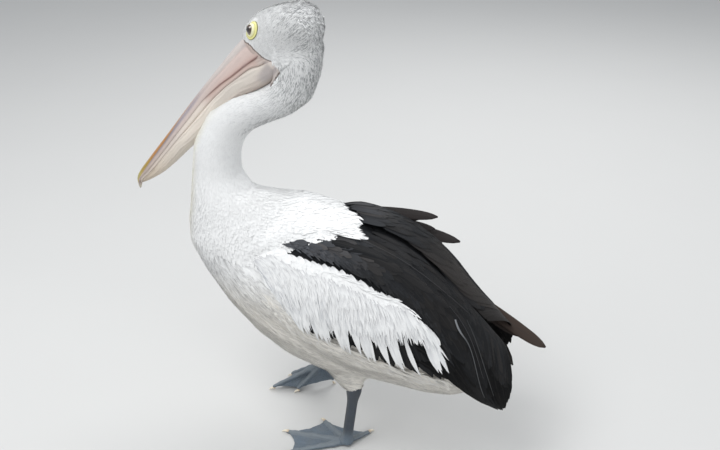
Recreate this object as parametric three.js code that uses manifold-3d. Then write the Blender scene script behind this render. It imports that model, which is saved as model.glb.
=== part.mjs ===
// A standing Australian pelican at life size, in millimetres, +Z up.
// The bird faces -Y, its left side is +X, and its soles lie on the plane z = 0.
// Places are first given as forward, left and up from a point on the floor between the hips,
// and the whole group is shifted at the end so that its origin is the bottom centre of its box.
import * as THREE from 'three';
import { mergeVertices } from 'three/addons/utils/BufferGeometryUtils.js';
import Module from 'manifold-3d';

const wasm = await Module();
wasm.setup();

// ---------------------------------------------------------------- driving dimensions (mm)
const GAP = 0.3;                // free space between pieces that touch
const GROW = 0.35;              // how far a cutting shape is larger than the piece it makes room for
const SLIVER = 0.06;            // detail smaller than this is merged after the cuts
const FAR = 3000;               // side of the blocks that part the body with plane cuts

// Trunk: sections across the body, [forward, centre height, half depth, half width].
const TRUNK = {
  rear: -272,
  front: 349,
  squareness: 2.06,
  sections: [
    [-272, 214, 0, 0],
    [-258, 226, 50, 42],
    [-230, 240, 91, 66],
    [-180, 264, 124, 94],
    [-120, 291, 142, 118],
    [-50, 321, 161, 136],
    [40, 333, 175, 143],
    [130, 354, 163, 139],
    [200, 381, 140, 124],
    [250, 405, 116, 105],
    [300, 431, 79, 80],
    [332, 445, 45, 50],
    [349, 450, 0, 0],
  ],
};

// Neck: [forward, height, half depth, half width] from inside the breast up into the head.
const NECK = [
  [226, 345, 40, 44],
  [246, 400, 76, 76],
  [266, 462, 80, 76],
  [281, 540, 53, 50],
  [279, 588, 48, 46],
  [265, 629, 44.5, 42],
  [234, 665, 39, 38],
  [198, 685, 35, 35],
  [164, 698, 33, 34],
  [136, 715, 36, 36],
  [116, 740, 43, 38],
  [112, 770, 49, 41],
  [115, 802, 53, 42],
  [124, 832, 34, 30],
];

// Head: placed by its own frame, u along the bill, v up from the bill, w to the bird's left.
const HEAD = {
  centre: [150, 0, 825],
  yaw: 8,                       // degrees, beak turned to the bird's right
  pitch: 50,                    // degrees, beak turned down
  squareness: 2.2,
  back: -90,
  front: 55,
  // [u, top v, bottom v, half width]
  sections: [
    [-90, -26, -26, 0],
    [-83, -8, -46, 24],
    [-66, 11, -62, 36],
    [-45, 27, -68, 41],
    [-20, 42, -67, 41],
    [5, 50, -63, 38.5],
    [25, 50.5, -59, 34],
    [40, 46, -54, 29],
    [51, 38, -48, 24],
    [55, 4, 4, 0],
  ],
};

const EYE = { u: 8, v: 27, w: 25.5, radius: 9.6 };

// Bill, in the head's frame: [u, value]
const BILL = {
  rear: 40,
  tip: 496,
  culmen: [[40, 32], [52, 38], [90, 42], [220, 47], [330, 49], [420, 51], [468, 52], [486, 47], [496, 35]],
  tomium: [[40, -8], [85, 3], [130, 13], [200, 21], [300, 28], [400, 35], [460, 39], [482, 34], [496, 27]],
  halfWidth: [[40, 23], [60, 24], [130, 21.5], [250, 19.5], [330, 18.5], [420, 17.5], [462, 13], [486, 7],
    [496, 1.5]],
  jawDepth: [[40, 8], [130, 9], [300, 8], [440, 6], [478, 3.5]],
  jawTip: 479,
  parting: 1,                   // how far the lower bill lies below the upper one's edge
  pouchTip: 458,
  pouchBottom: [[22, -50], [40, -56], [55, -55], [90, -44], [135, -27], [190, -14], [240, -9], [285, -5],
    [333, 2], [393, 13], [430, 22], [458, 29]],
  pouchHalf: [[22, 10], [40, 23], [60, 24], [130, 21], [240, 17], [333, 14], [400, 11], [458, 5]],
};

// Folded wing: its outer surface is an ellipse across the body, one on each side of the spine.
// [forward, centre height, half height, half width], with the centre this far out from the spine:
const WING = {
  offset: 30,
  sections: [
    [186, 365, 96, 98],
    [150, 361, 114, 112],
    [100, 352, 134, 118],
    [40, 343, 149, 122],
    [-30, 332, 152, 122],
    [-100, 315, 143, 115],
    [-160, 292, 125, 103],
    [-220, 262, 100, 88],
    [-270, 235, 79, 74],
    [-331, 200, 55, 57],
  ],
  // angles round the body in degrees, 0 at the crest beside the spine and 90 at the side
  blackEdge: [[-214, 85], [-186, 66], [-161, 53], [-135, 48], [-104, 49.5], [-63, 49], [-9, 44], [60, 40],
    [133, 36], [182, 50]],
  fringe: [[-214, 87], [-179, 107], [-119, 137], [-74, 143], [-37, 147], [9, 140], [69, 120], [108, 113],
    [143, 100], [169, 79], [184, 60]],
  mantleEdge: [[-30, -13.6], [-20, 2], [0, 8], [50, 19], [105, 24], [133, 35]],
  flightEdge: [[-331, 141], [-304, 138], [-287, 130], [-254, 122], [-210, 118], [-160, 126], [-119, 134],
    [-74, 140], [-37, 143], [9, 136], [69, 116]],
  coverDepth: 9,                // thickness of the outer feathers
  flightDepth: 21,              // depth down to the inner face of the quills below them
  roomAbove: 20,                // a wing's room reaches this far out beyond its surface
  spineClear: 1.5,              // each wing stays this far from the middle plane
  edgeMargin: 4,                // room round a patch's rim, in multiples of the growth inside it
};

const TAIL = {
  root: -196, tip: -298, rootUp: 232, tipUp: 178, rootHalf: 40, tipHalf: 58, thick: 9, arch: 9, round: 8,
};

// Legs: the left foot is flat, the right one rests on its toes with the heel raised in mid step.
// Toe tips run from the hind toe to the outer one.
const LEG = {
  left: {
    thigh: [10, 62, 232],
    ankle: [-17, 66, 146],
    heel: [0, 65, 7],
    tips: [[-42, 8, 0], [78, 7, 0], [142, 71, 0], [113, 134, 0]],
  },
  right: {
    thigh: [40, -66, 238],
    ankle: [26, -82, 166],
    heel: [112, -105, 62],
    tips: [[88, -116, 0], [166, -57, 0], [224, -51, 0], [203, -112, 0]],
  },
  thigh: { root: [52, 38], ankle: [18, 14] },    // half sizes fore and aft, and across
  shank: { ankle: [15, 10], heel: [13.5, 8] },
  toeRadius: [7.5, 4],
  webHollow: [0.14, 0.08, 0.08],
  fanStops: [0, 0.07, 0.5, 0.93],   // where the fan's lines run between one toe and the next
  web: 2.2,
  claw: 13,
};

// Loose feathers of the right wing: root and tip as [forward, left, up], then half width.
const LOOSE = {
  face: [-0.25, 0.5, 0.8],      // the way their upper faces look
  thick: 3.4,
  tertials: [
    { root: [42, -74, 469], tip: [-133, -104, 464], half: 17 },
    { root: [22, -92, 450], tip: [-177, -119, 409], half: 17 },
  ],
  primary: { root: [-214, -82, 316], tip: [-366, -86, 219], half: 20 },
};

// ---------------------------------------------------------------- colours
const PAINT = {
  white: { color: 0xf2f3f0, roughness: 0.85, metalness: 0 },
  cream: { color: 0xddd8c8, roughness: 0.88, metalness: 0 },
  grey: { color: 0xc9cccb, roughness: 0.88, metalness: 0 },
  black: { color: 0x26282a, roughness: 0.6, metalness: 0 },
  brown: { color: 0x3d3733, roughness: 0.6, metalness: 0 },
  bill: { color: 0xd8b9ae, roughness: 0.45, metalness: 0 },
  pouch: { color: 0xdccabd, roughness: 0.55, metalness: 0 },
  eye: { color: 0x241c16, roughness: 0.08, metalness: 0 },
  leg: { color: 0x67717a, roughness: 0.6, metalness: 0 },
  claw: { color: 0xcfc8b4, roughness: 0.45, metalness: 0 },
};

// ---------------------------------------------------------------- shape helpers
const rad = THREE.MathUtils.degToRad;
const place = (forward, left, up) => new THREE.Vector3(left, -forward, up);

// A smooth curve through [x, y] rows with rising x, held level beyond its ends.
function curve(rows, column = 1) {
  const xs = rows.map((row) => row[0]);
  const ys = rows.map((row) => row[column]);
  const slope = (i) => {
    const a = Math.max(i - 1, 0);
    const b = Math.min(i + 1, xs.length - 1);
    return (ys[b] - ys[a]) / (xs[b] - xs[a]);
  };
  return (x) => {
    if (x <= xs[0]) return ys[0];
    if (x >= xs[xs.length - 1]) return ys[ys.length - 1];
    let i = 0;
    while (x > xs[i + 1]) i += 1;
    const span = xs[i + 1] - xs[i];
    const t = (x - xs[i]) / span;
    const t2 = t * t;
    const t3 = t2 * t;
    return (2 * t3 - 3 * t2 + 1) * ys[i] + (t3 - 2 * t2 + t) * span * slope(i)
      + (3 * t2 - 2 * t3) * ys[i + 1] + (t3 - t2) * span * slope(i + 1);
  };
}

// A point on a rounded section: -1 to 1 both ways, squarer as the power rises above 2.
function ring(angle, power = 2) {
  const c = Math.cos(angle);
  const s = Math.sin(angle);
  return [Math.sign(c) * Math.abs(c) ** (2 / power), Math.sign(s) * Math.abs(s) ** (2 / power)];
}

// Bodies drawn from a sphere keep their two end rows as poles, and the rows between run from 0 to 1.
const isPole = (t) => t === 0 || t === 1;
const share = (t, steps) => THREE.MathUtils.clamp((t * (steps + 2) - 1) / steps, 0, 1);

// Merges the seams of a closed surface and turns its faces outwards.
function closed(geometry) {
  geometry.deleteAttribute('normal');
  geometry.deleteAttribute('uv');
  const merged = mergeVertices(geometry, 1e-3);
  const at = merged.getAttribute('position');
  const index = merged.getIndex();
  const [a, b, c] = [new THREE.Vector3(), new THREE.Vector3(), new THREE.Vector3()];
  let volume = 0;
  for (let i = 0; i < index.count; i += 3) {
    a.fromBufferAttribute(at, index.getX(i));
    b.fromBufferAttribute(at, index.getX(i + 1));
    c.fromBufferAttribute(at, index.getX(i + 2));
    volume += a.dot(b.cross(c));
  }
  if (volume < 0) {
    for (let i = 0; i < index.count; i += 3) {
      const first = index.getX(i);
      index.setX(i, index.getX(i + 1));
      index.setX(i + 1, first);
    }
  }
  return merged;
}

// A sphere drawn out into a long body: shape(t, angle) gives the surface, with a pole at each end.
function loft(rows, sides, shape) {
  const geometry = new THREE.SphereGeometry(1, sides, rows);
  const at = geometry.getAttribute('position');
  for (let row = 0; row <= rows; row += 1) {
    for (let side = 0; side <= sides; side += 1) {
      const p = shape(row / rows, (2 * Math.PI * (side % sides)) / sides);
      at.setXYZ(row * (sides + 1) + side, p.x, p.y, p.z);
    }
  }
  return closed(geometry);
}

// A block bent into a curved plate: shape(u, v, w) with w from the inner face to the outer one.
function plate(columns, rows, shape) {
  const geometry = new THREE.BoxGeometry(1, 1, 1, columns, rows, 1);
  const at = geometry.getAttribute('position');
  for (let i = 0; i < at.count; i += 1) {
    const p = shape(at.getX(i) + 0.5, at.getY(i) + 0.5, at.getZ(i) + 0.5);
    at.setXYZ(i, p.x, p.y, p.z);
  }
  return closed(geometry);
}

function solid(geometry) {
  return new wasm.Manifold(new wasm.Mesh({
    numProp: 3,
    vertProperties: new Float32Array(geometry.getAttribute('position').array),
    triVerts: new Uint32Array(geometry.getIndex().array),
  }));
}

// The largest piece of a cut solid, as a geometry.
function surface(shape) {
  const parts = shape.simplify(SLIVER).decompose();
  parts.sort((a, b) => b.volume() - a.volume());
  const mesh = parts[0].getMesh();
  const geometry = new THREE.BufferGeometry();
  geometry.setAttribute('position', new THREE.BufferAttribute(mesh.vertProperties.slice(), 3));
  geometry.setIndex(new THREE.BufferAttribute(mesh.triVerts.slice(), 1));
  geometry.computeVertexNormals();
  return geometry;
}

// Everything on the side of a plane that its normal points to, as one large block.
function half(point, normal, shift = 0) {
  const n = normal.clone().normalize();
  const block = new THREE.BoxGeometry(FAR, FAR, FAR);
  block.applyQuaternion(new THREE.Quaternion().setFromUnitVectors(new THREE.Vector3(0, 0, 1), n));
  const middle = point.clone().addScaledVector(n, FAR / 2 + shift);
  block.translate(middle.x, middle.y, middle.z);
  return solid(closed(block));
}

// Parts a solid at a plane with a thin cut: [the side the normal points to, the other side].
function part(shape, point, normal) {
  return [
    shape.intersect(half(point, normal, GAP / 2)),
    shape.intersect(half(point, normal.clone().negate(), GAP / 2)),
  ];
}

// ---------------------------------------------------------------- trunk, neck and head
function trunkSolid() {
  const centre = curve(TRUNK.sections, 1);
  const depth = curve(TRUNK.sections, 2);
  const width = curve(TRUNK.sections, 3);
  const middle = (TRUNK.rear + TRUNK.front) / 2;
  const reach = (TRUNK.front - TRUNK.rear) / 2;
  return solid(loft(14, 16, (t, angle) => {
    const forward = middle - reach * Math.cos(Math.PI * t);
    const [up, left] = ring(angle, TRUNK.squareness);
    const end = isPole(t) ? 0 : 1;
    return place(forward, left * width(forward) * end, centre(forward) + up * depth(forward) * end);
  }));
}

// A round body that follows the neck's path in the middle plane.
function neckSolid(rows = NECK, steps = 12, around = 12) {
  const path = new THREE.CatmullRomCurve3(rows.map((row) => new THREE.Vector3(row[0], 0, row[1])));
  const order = rows.map((row, i) => [i / (rows.length - 1), row[2], row[3]]);
  const depth = curve(order, 1);
  const width = curve(order, 2);
  return solid(loft(steps + 2, around, (t, angle) => {
    const k = share(t, steps);
    const p = path.getPoint(k);
    const d = path.getTangent(k);
    const [out, left] = ring(angle);
    const pole = isPole(t) ? 0 : 1;
    const reach = depth(k) * out * pole;
    return place(p.x + d.z * reach, left * width(k) * pole, p.z - d.x * reach);
  }));
}

// The head's own frame: u forward along the bill, v up from it, w to the bird's left.
function headFrame() {
  const yaw = rad(HEAD.yaw);
  const pitch = rad(HEAD.pitch);
  const u = place(Math.cos(pitch) * Math.cos(yaw), -Math.cos(pitch) * Math.sin(yaw), -Math.sin(pitch));
  const w = place(Math.sin(yaw), Math.cos(yaw), 0);
  const v = new THREE.Vector3().crossVectors(w, u);
  if (v.z < 0) v.negate();
  return new THREE.Matrix4().makeBasis(u, v, w).setPosition(place(...HEAD.centre));
}
const frame = headFrame();
const inHead = (u, v, w) => new THREE.Vector3(u, v, w).applyMatrix4(frame);

// A body along the bill's line between two heights, rounded at both ends.
function headBar(from, to, top, bottom, width, { grow = 0, power = 2.4, rows = 11, around = 8 } = {}) {
  return solid(loft(rows, around, (t, angle) => {
    const u = (from + to) / 2 - ((to - from) / 2) * Math.cos(Math.PI * t);
    const [up, left] = ring(angle + Math.PI / around, power);
    const end = isPole(t) ? 0 : 1;
    const reach = (top(u) - bottom(u)) / 2 + grow;
    return inHead(u, (top(u) + bottom(u)) / 2 + up * reach * end, left * (width(u) + grow) * end);
  }));
}

const headSolid = () => headBar(HEAD.back, HEAD.front, curve(HEAD.sections, 1), curve(HEAD.sections, 2),
  curve(HEAD.sections, 3), { power: HEAD.squareness, around: 12 });

const culmen = curve(BILL.culmen);
const tomium = curve(BILL.tomium);
const billWidth = curve(BILL.halfWidth);
const jawDepth = curve(BILL.jawDepth);
const upperBill = (grow = 0) => headBar(BILL.rear - grow, BILL.tip, culmen, tomium, billWidth, { grow });
const lowerBill = (grow = 0) => headBar(BILL.rear - grow, BILL.jawTip, (u) => tomium(u) - BILL.parting,
  (u) => tomium(u) - jawDepth(u), (u) => billWidth(u) - 1, { grow, power: 3 });
const pouchBag = (grow = 0) => headBar(BILL.pouchBottom[0][0] - grow, BILL.pouchTip,
  (u) => tomium(u) - jawDepth(u) - GAP, curve(BILL.pouchBottom), curve(BILL.pouchHalf), { grow });

function eye(side, grow = 0) {
  const ball = new THREE.SphereGeometry(EYE.radius + grow, 8, 6);
  const at = inHead(EYE.u, EYE.v, side * EYE.w);
  ball.translate(at.x, at.y, at.z);
  return solid(closed(ball));
}

// ---------------------------------------------------------------- wings
const rearFirst = [...WING.sections].reverse();
const wingCentre = curve(rearFirst, 1);
const wingHeight = curve(rearFirst, 2);
const wingWidth = curve(rearFirst, 3);
const blackEdge = curve(WING.blackEdge);
const fringe = curve(WING.fringe);
const mantleEdge = curve(WING.mantleEdge);
const flightEdge = curve(WING.flightEdge);

// A point on a folded wing: side is 1 for the left wing and -1 for the right one.
function onWing(side, forward, degrees, depth) {
  const a = rad(degrees);
  const left = WING.offset + (wingWidth(forward) - depth) * Math.sin(a);
  return place(forward, side * left, wingCentre(forward) + (wingHeight(forward) - depth) * Math.cos(a));
}

// The angle at which a wing's surface comes close to the middle plane.
const spineAngle = (forward) => -THREE.MathUtils.radToDeg(
  Math.asin((WING.offset - WING.spineClear) / (wingWidth(forward) - WING.coverDepth)),
);

// A patch of the wing between two edges, thick in the middle and thin at its rim. Its rear corner by
// the spine is cut back by rake. With grow it is the room that the patch needs, open to the outside.
function patch(side, form, grow = 0) {
  const { from, to, upper, lower, inner, thick, rim, columns, rows, rake = 0 } = form;
  const border = grow ? 2 : 0;
  return solid(plate(columns + border, rows + border, (along, down, w) => {
    const u = grow ? share(along, columns) : along;
    const v = grow ? share(down, rows) : down;
    const inside = from + (to - from) * u + rake * (1 - v) ** 2 * (1 - u) ** 6;
    const margin = grow * WING.edgeMargin;
    const forward = inside + margin * (Number(along === 1) - Number(along === 0));
    const spread = THREE.MathUtils.radToDeg(margin / wingWidth(inside));
    const angle = THREE.MathUtils.lerp(upper(inside), lower(inside), v)
      + spread * (Number(down === 1) - Number(down === 0));
    const swell = Math.sqrt(Math.max(0, Math.sin(Math.PI * u) * Math.sin(Math.PI * v)));
    const outer = grow ? -WING.roomAbove : inner(inside) - rim - (thick - rim) * swell;
    return onWing(side, forward, angle, w < 0.5 ? inner(inside) + grow : outer);
  }));
}

const coverForm = {
  from: -212,
  to: 182,
  upper: (f) => Math.min(blackEdge(f), fringe(f) - 1.5),
  lower: fringe,
  inner: () => WING.coverDepth,
  thick: WING.coverDepth,
  rim: 2.5,
  columns: 11,
  rows: 4,
};

const scapularForm = {
  from: -213,
  to: 131,
  upper: (f) => (f < -14 ? spineAngle(f) : mantleEdge(f)),
  lower: blackEdge,
  inner: () => WING.coverDepth,
  thick: WING.coverDepth,
  rim: 2.5,
  columns: 9,
  rows: 4,
};

const flightForm = {
  from: -331,
  to: 69,
  upper: (f) => (f < -212 ? spineAngle(f) : blackEdge(f) - 14),
  lower: flightEdge,
  inner: curve([[-318, 8], [-240, 12], [-190, WING.flightDepth], [69, WING.flightDepth]]),
  thick: WING.flightDepth,
  rim: 3,
  rake: 40,
  columns: 9,
  rows: 3,
};

// One flat feather from root to tip, slightly domed, with up as the way its upper face looks.
function feather(root, tip, up, reach, grow) {
  const quill = tip.clone().sub(root);
  const across = new THREE.Vector3().crossVectors(up, quill).normalize();
  const lift = new THREE.Vector3().crossVectors(quill, across).normalize();
  return solid(plate(4, 2, (u, v, w) => {
    const past = Math.max(0, (u - 0.5) / 0.5);
    const width = reach * Math.sqrt(Math.max(0.015, 1 - past ** 2.4));
    const edge = v * 2 - 1;
    const thick = LOOSE.thick * (1 - 0.7 * u) + 2 * grow;
    return root.clone().addScaledVector(quill, u).addScaledVector(across, edge * width)
      .addScaledVector(lift, 2 * (1 - edge * edge) + (w - 0.5) * thick);
  }));
}

function looseFeather({ root, tip, half: halfWidth }, grow = 0) {
  return feather(place(...root), place(...tip), place(...LOOSE.face), halfWidth + grow, grow);
}

function wing(side) {
  const coverRoom = patch(side, coverForm, GROW);
  const scapularRoom = patch(side, scapularForm, GROW);
  let room = coverRoom.add(scapularRoom).add(patch(side, flightForm, GROW));
  let scapulars = patch(side, scapularForm).subtract(coverRoom);
  let quills = patch(side, flightForm).subtract(coverRoom).subtract(scapularRoom);
  if (side < 0) {
    for (const form of LOOSE.tertials) {
      scapulars = scapulars.add(looseFeather(form).subtract(coverRoom));
      quills = quills.subtract(looseFeather(form, GAP));
      room = room.add(looseFeather(form, GAP));
    }
    quills = quills.add(looseFeather(LOOSE.primary)).subtract(scapularRoom);
    room = room.add(looseFeather(LOOSE.primary, GAP));
  }
  return { coverts: patch(side, coverForm), scapulars, quills, room };
}

// ---------------------------------------------------------------- tail
function tail(grow = 0) {
  return solid(plate(5, 6, (u, v, w) => {
    const across = v * 2 - 1;
    const width = TAIL.rootHalf + (TAIL.tipHalf - TAIL.rootHalf) * u + grow;
    const forward = TAIL.root + grow + (TAIL.tip - TAIL.root) * u;
    const thick = TAIL.thick * (1 - 0.7 * u) * (1 - 0.6 * across * across) + 1.2 + 2 * grow;
    const up = TAIL.rootUp + (TAIL.tipUp - TAIL.rootUp) * u - TAIL.arch * across * across;
    return place(forward - TAIL.round * (1 - across * across) * u, across * width, up + (w - 0.5) * thick);
  }));
}

// ---------------------------------------------------------------- legs
const ahead = place(1, 0, 0);
const floor = half(new THREE.Vector3(), new THREE.Vector3(0, 0, 1));

// A tapered limb between two points; each size is [fore and aft, across], swollen by bulge midway.
function limb(from, to, startSize, endSize, { steps = 5, around = 10, bulge = 0 } = {}) {
  const axis = to.clone().sub(from).normalize();
  const side = new THREE.Vector3().crossVectors(axis, ahead).normalize();
  const front = new THREE.Vector3().crossVectors(side, axis).normalize();
  return solid(loft(steps + 2, around, (t, angle) => {
    const k = share(t, steps);
    const swell = isPole(t) ? 0 : 1 + bulge * Math.sin(Math.PI * k);
    const [a, b] = ring(angle);
    return from.clone().lerp(to, k)
      .addScaledVector(front, a * swell * THREE.MathUtils.lerp(startSize[0], endSize[0], k))
      .addScaledVector(side, b * swell * THREE.MathUtils.lerp(startSize[1], endSize[1], k));
  }));
}

// The line of one toe, arched a little between the heel and its tip.
function toeLine(leg, i) {
  const heel = place(...leg.heel);
  const tip = place(...leg.tips[i]);
  tip.z = 2.6;
  const knee = heel.clone().lerp(tip, 0.5);
  knee.z = heel.z > 20 ? heel.z * 0.42 + 6 : 5.2;
  return new THREE.QuadraticBezierCurve3(heel, knee, tip);
}

// Toes and webs in one fan: a ridge along each toe and thin skin with a hollow free edge between.
function fan(lines, ends) {
  const perGap = LEG.fanStops.length;
  const last = (lines.length - 1) * perGap;
  return solid(plate(6, last, (u, v, w) => {
    const row = Math.round(v * last);
    const i = Math.min(Math.floor(row / perGap), lines.length - 2);
    const across = row === last ? 1 : LEG.fanStops[row % perGap];
    const ridge = across === 0 || across === 1 ? 1 : 0;
    const hollow = 1 - LEG.webHollow[i] * 4 * across * (1 - across);
    const end = THREE.MathUtils.lerp(ends[i], ends[i + 1], across) * hollow;
    const k = 0.05 + (end - 0.05) * u;
    const p = lines[i].getPoint(k).lerp(lines[i + 1].getPoint(k), across);
    const radius = THREE.MathUtils.lerp(LEG.toeRadius[0], LEG.toeRadius[1], k);
    p.z = Math.max(p.z - radius, 0) + w * (ridge ? 2 * radius : LEG.web);
    return p;
  }));
}

// A claw carries on from its toe and turns down to the floor.
function claw(line, from) {
  const root = line.getPoint(from);
  const tip = line.getPoint(1);
  tip.z = 1.1;
  const run = tip.clone().sub(root);
  const start = GAP / run.length() + 0.02;
  return solid(loft(5, 6, (t, angle) => {
    const k = start + (1 - start) * share(t, 3);
    const side = new THREE.Vector3(run.y, -run.x, 0).normalize();
    const r = isPole(t) ? 0 : 3.2 * (1 - k) ** 0.7 + 0.5;
    const p = root.clone().addScaledVector(run, k).addScaledVector(side, Math.cos(angle) * r);
    p.z += 1.6 * Math.sin(Math.PI * k) + Math.sin(angle) * r;
    return p;
  })).intersect(floor);
}

function shank(leg, grow = 0) {
  const ankle = place(...leg.ankle);
  const heel = place(...leg.heel);
  const down = heel.clone().sub(ankle).normalize();
  const larger = (size) => size.map((x) => x + grow);
  const top = ankle.clone().addScaledVector(down, -16);
  return limb(top, heel, larger(LEG.shank.ankle), larger(LEG.shank.heel), { bulge: -0.08 });
}

function foot(leg) {
  const lines = leg.tips.map((_, i) => toeLine(leg, i));
  const ends = lines.map((line) => 1 - LEG.claw / line.getLength());
  const heel = place(...leg.heel);
  const knob = limb(heel, heel.clone().setZ(heel.z + 4), [12, 10], [12, 9], { steps: 1, around: 8 });
  return { whole: knob.add(fan(lines, ends)), claws: lines.map((line, i) => claw(line, ends[i])) };
}

function thigh(leg, grow = 0) {
  const end = place(...leg.ankle).lerp(place(...leg.thigh), -0.06);
  const root = place(...leg.thigh).lerp(end, -grow / 60);
  const larger = (size) => size.map((x) => x + grow);
  return limb(root, end, larger(LEG.thigh.root), larger(LEG.thigh.ankle), { steps: 4, around: 12, bulge: 0.1 });
}

// ---------------------------------------------------------------- assembly
const group = new THREE.Group();

function node(name, shape, paint) {
  const material = new THREE.MeshStandardMaterial(paint);
  material.flatShading = true;
  const mesh = new THREE.Mesh(surface(shape), material);
  mesh.name = name;
  group.add(mesh);
}

const sides = { left: 1, right: -1 };
const wings = { left: wing(1), right: wing(-1) };

// The flesh is one body, and makes room for every bare piece and for the wings, tail and legs.
const flesh = { trunk: trunkSolid(), front: neckSolid().add(headSolid()) };
let whole = flesh.trunk.add(flesh.front);
const rooms = [upperBill(GROW), lowerBill(GROW), pouchBag(GROW), tail(GROW)];
for (const [name, side] of Object.entries(sides)) {
  rooms.push(eye(side, GROW), wings[name].room, thigh(LEG[name], GROW), shank(LEG[name], GROW));
}
for (const room of rooms) whole = whole.subtract(room);

// Thin cuts part it into the belly, breast, mantle, three lengths of neck, and the head.
const [front, trunk] = part(whole, place(262, 0, 505), place(0.25, 0, 1));
const [breast, rear] = part(trunk, place(205, 0, 380), place(1, 0, -0.25));
const [mantle, belly] = part(rear, place(60, 0, 448), place(-0.12, 0, 1));
const [upper, neckLower] = part(front, place(270, 0, 604), place(-0.3, 0, 1));
const [nape, neckMiddle] = part(upper, place(186, 0, 690), place(-0.86, 0, 0.5));
const [head, neckUpper] = part(nape, place(118, 0, 762), place(0.35, 0, 1));

node('head', head, PAINT.white);
node('neck_upper', neckUpper, PAINT.grey);
node('neck_middle', neckMiddle, PAINT.white);
node('neck_lower', neckLower, PAINT.white);
node('breast', breast, PAINT.cream);
node('mantle', mantle, PAINT.white);
node('belly', belly, PAINT.cream);
node('tail', tail(), PAINT.black);
node('upper_bill', upperBill(), PAINT.bill);
node('lower_bill', lowerBill(), PAINT.bill);
node('pouch', pouchBag(), PAINT.pouch);

const toeNames = ['hind', 'inner', 'middle', 'outer'];
for (const [name, side] of Object.entries(sides)) {
  const leg = LEG[name];
  const { coverts, scapulars, quills, room } = wings[name];
  const [secondaries, primaries] = part(quills, place(-216, 0, 250), place(1, 0, 0.3));
  node(`${name}_eye`, eye(side), PAINT.eye);
  node(`${name}_coverts`, coverts, PAINT.white);
  node(`${name}_scapulars`, scapulars, PAINT.black);
  node(`${name}_secondaries`, secondaries, PAINT.black);
  node(`${name}_primaries`, primaries, PAINT.black);
  node(`${name}_thigh`, thigh(leg).subtract(shank(leg, GROW)).subtract(room), PAINT.cream);
  const down = place(...leg.heel).sub(place(...leg.ankle)).normalize();
  const { whole: wholeFoot, claws } = foot(leg);
  const top = place(...leg.heel).addScaledVector(down, -15);
  const [toes, shin] = part(shank(leg).add(wholeFoot), top, down);
  node(`${name}_shank`, shin, PAINT.leg);
  const soles = claws.reduce((rest, piece) => rest.subtract(piece), toes.intersect(floor));
  node(`${name}_foot`, soles, PAINT.leg);
  claws.forEach((piece, i) => node(`${name}_${toeNames[i]}_claw`, piece, PAINT.claw));
}

// The origin goes to the bottom centre of the whole bird's box.
const box = new THREE.Box3().setFromObject(group, true);
group.children.forEach((mesh) => {
  mesh.position.set(-(box.min.x + box.max.x) / 2, -(box.min.y + box.max.y) / 2, -box.min.z);
});

export default group;
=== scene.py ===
"""Visual model of a standing pelican at life size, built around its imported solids.

Metres, +Z up. The bird faces -Y and its left side is +X. Sizes in tables are in millimetres, as forward,
left and up from the point on the floor between the hips, and class Body turns them into the model's frame.
"""
import logging
import math
from dataclasses import dataclass, field
from enum import StrEnum
from typing import Callable, Sequence

import bpy
import numpy as np
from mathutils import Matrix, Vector
from mathutils.bvhtree import BVHTree


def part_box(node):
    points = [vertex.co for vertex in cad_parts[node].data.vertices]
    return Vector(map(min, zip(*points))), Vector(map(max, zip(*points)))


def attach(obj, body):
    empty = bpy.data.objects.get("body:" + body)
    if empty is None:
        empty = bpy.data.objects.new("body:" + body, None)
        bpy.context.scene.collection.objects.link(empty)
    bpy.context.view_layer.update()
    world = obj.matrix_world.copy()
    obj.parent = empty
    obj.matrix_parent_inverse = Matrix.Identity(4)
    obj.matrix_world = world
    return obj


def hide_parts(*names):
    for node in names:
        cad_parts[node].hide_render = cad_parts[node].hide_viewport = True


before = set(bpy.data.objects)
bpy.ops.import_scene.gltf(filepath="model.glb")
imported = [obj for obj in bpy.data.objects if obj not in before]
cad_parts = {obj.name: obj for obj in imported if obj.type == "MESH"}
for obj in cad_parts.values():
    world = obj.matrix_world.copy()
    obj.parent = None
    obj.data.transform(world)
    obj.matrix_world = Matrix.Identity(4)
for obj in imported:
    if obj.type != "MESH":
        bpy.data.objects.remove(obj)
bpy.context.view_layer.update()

log = logging.getLogger("pelican")

MM = 0.001
# The map that the bake uses, and the side of the patch of it that each feather has.
BAKE_MAP = "OFBake"
BAKE_PATCH = 0.003
# How many points are compared with the body's line at once, to spare memory.
BATCH = 20000

Array = np.ndarray
Rows = Sequence[Sequence[float]]
Colour = tuple[float, float, float]
Spot = tuple[float, float, float]
Heading = Callable[[Array, Array], Array]
Piece = bpy.types.Object


class Side(StrEnum):
    """The bird's two sides."""

    LEFT = "left"
    RIGHT = "right"

    @property
    def sign(self) -> float:
        """Return 1 for the left side and -1 for the right one, as on the x axis."""
        return 1.0 if self is Side.LEFT else -1.0


class Slot(StrEnum):
    """The names of the material slots."""

    WHITE = "white_feathers"
    CREAM = "cream_feathers"
    GREY = "grey_feathers"
    BLACK = "black_feathers"
    BILL = "bill"
    POUCH = "pouch"
    EYE = "eye"
    LEG = "leg_skin"
    CLAWS = "claws"


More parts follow.
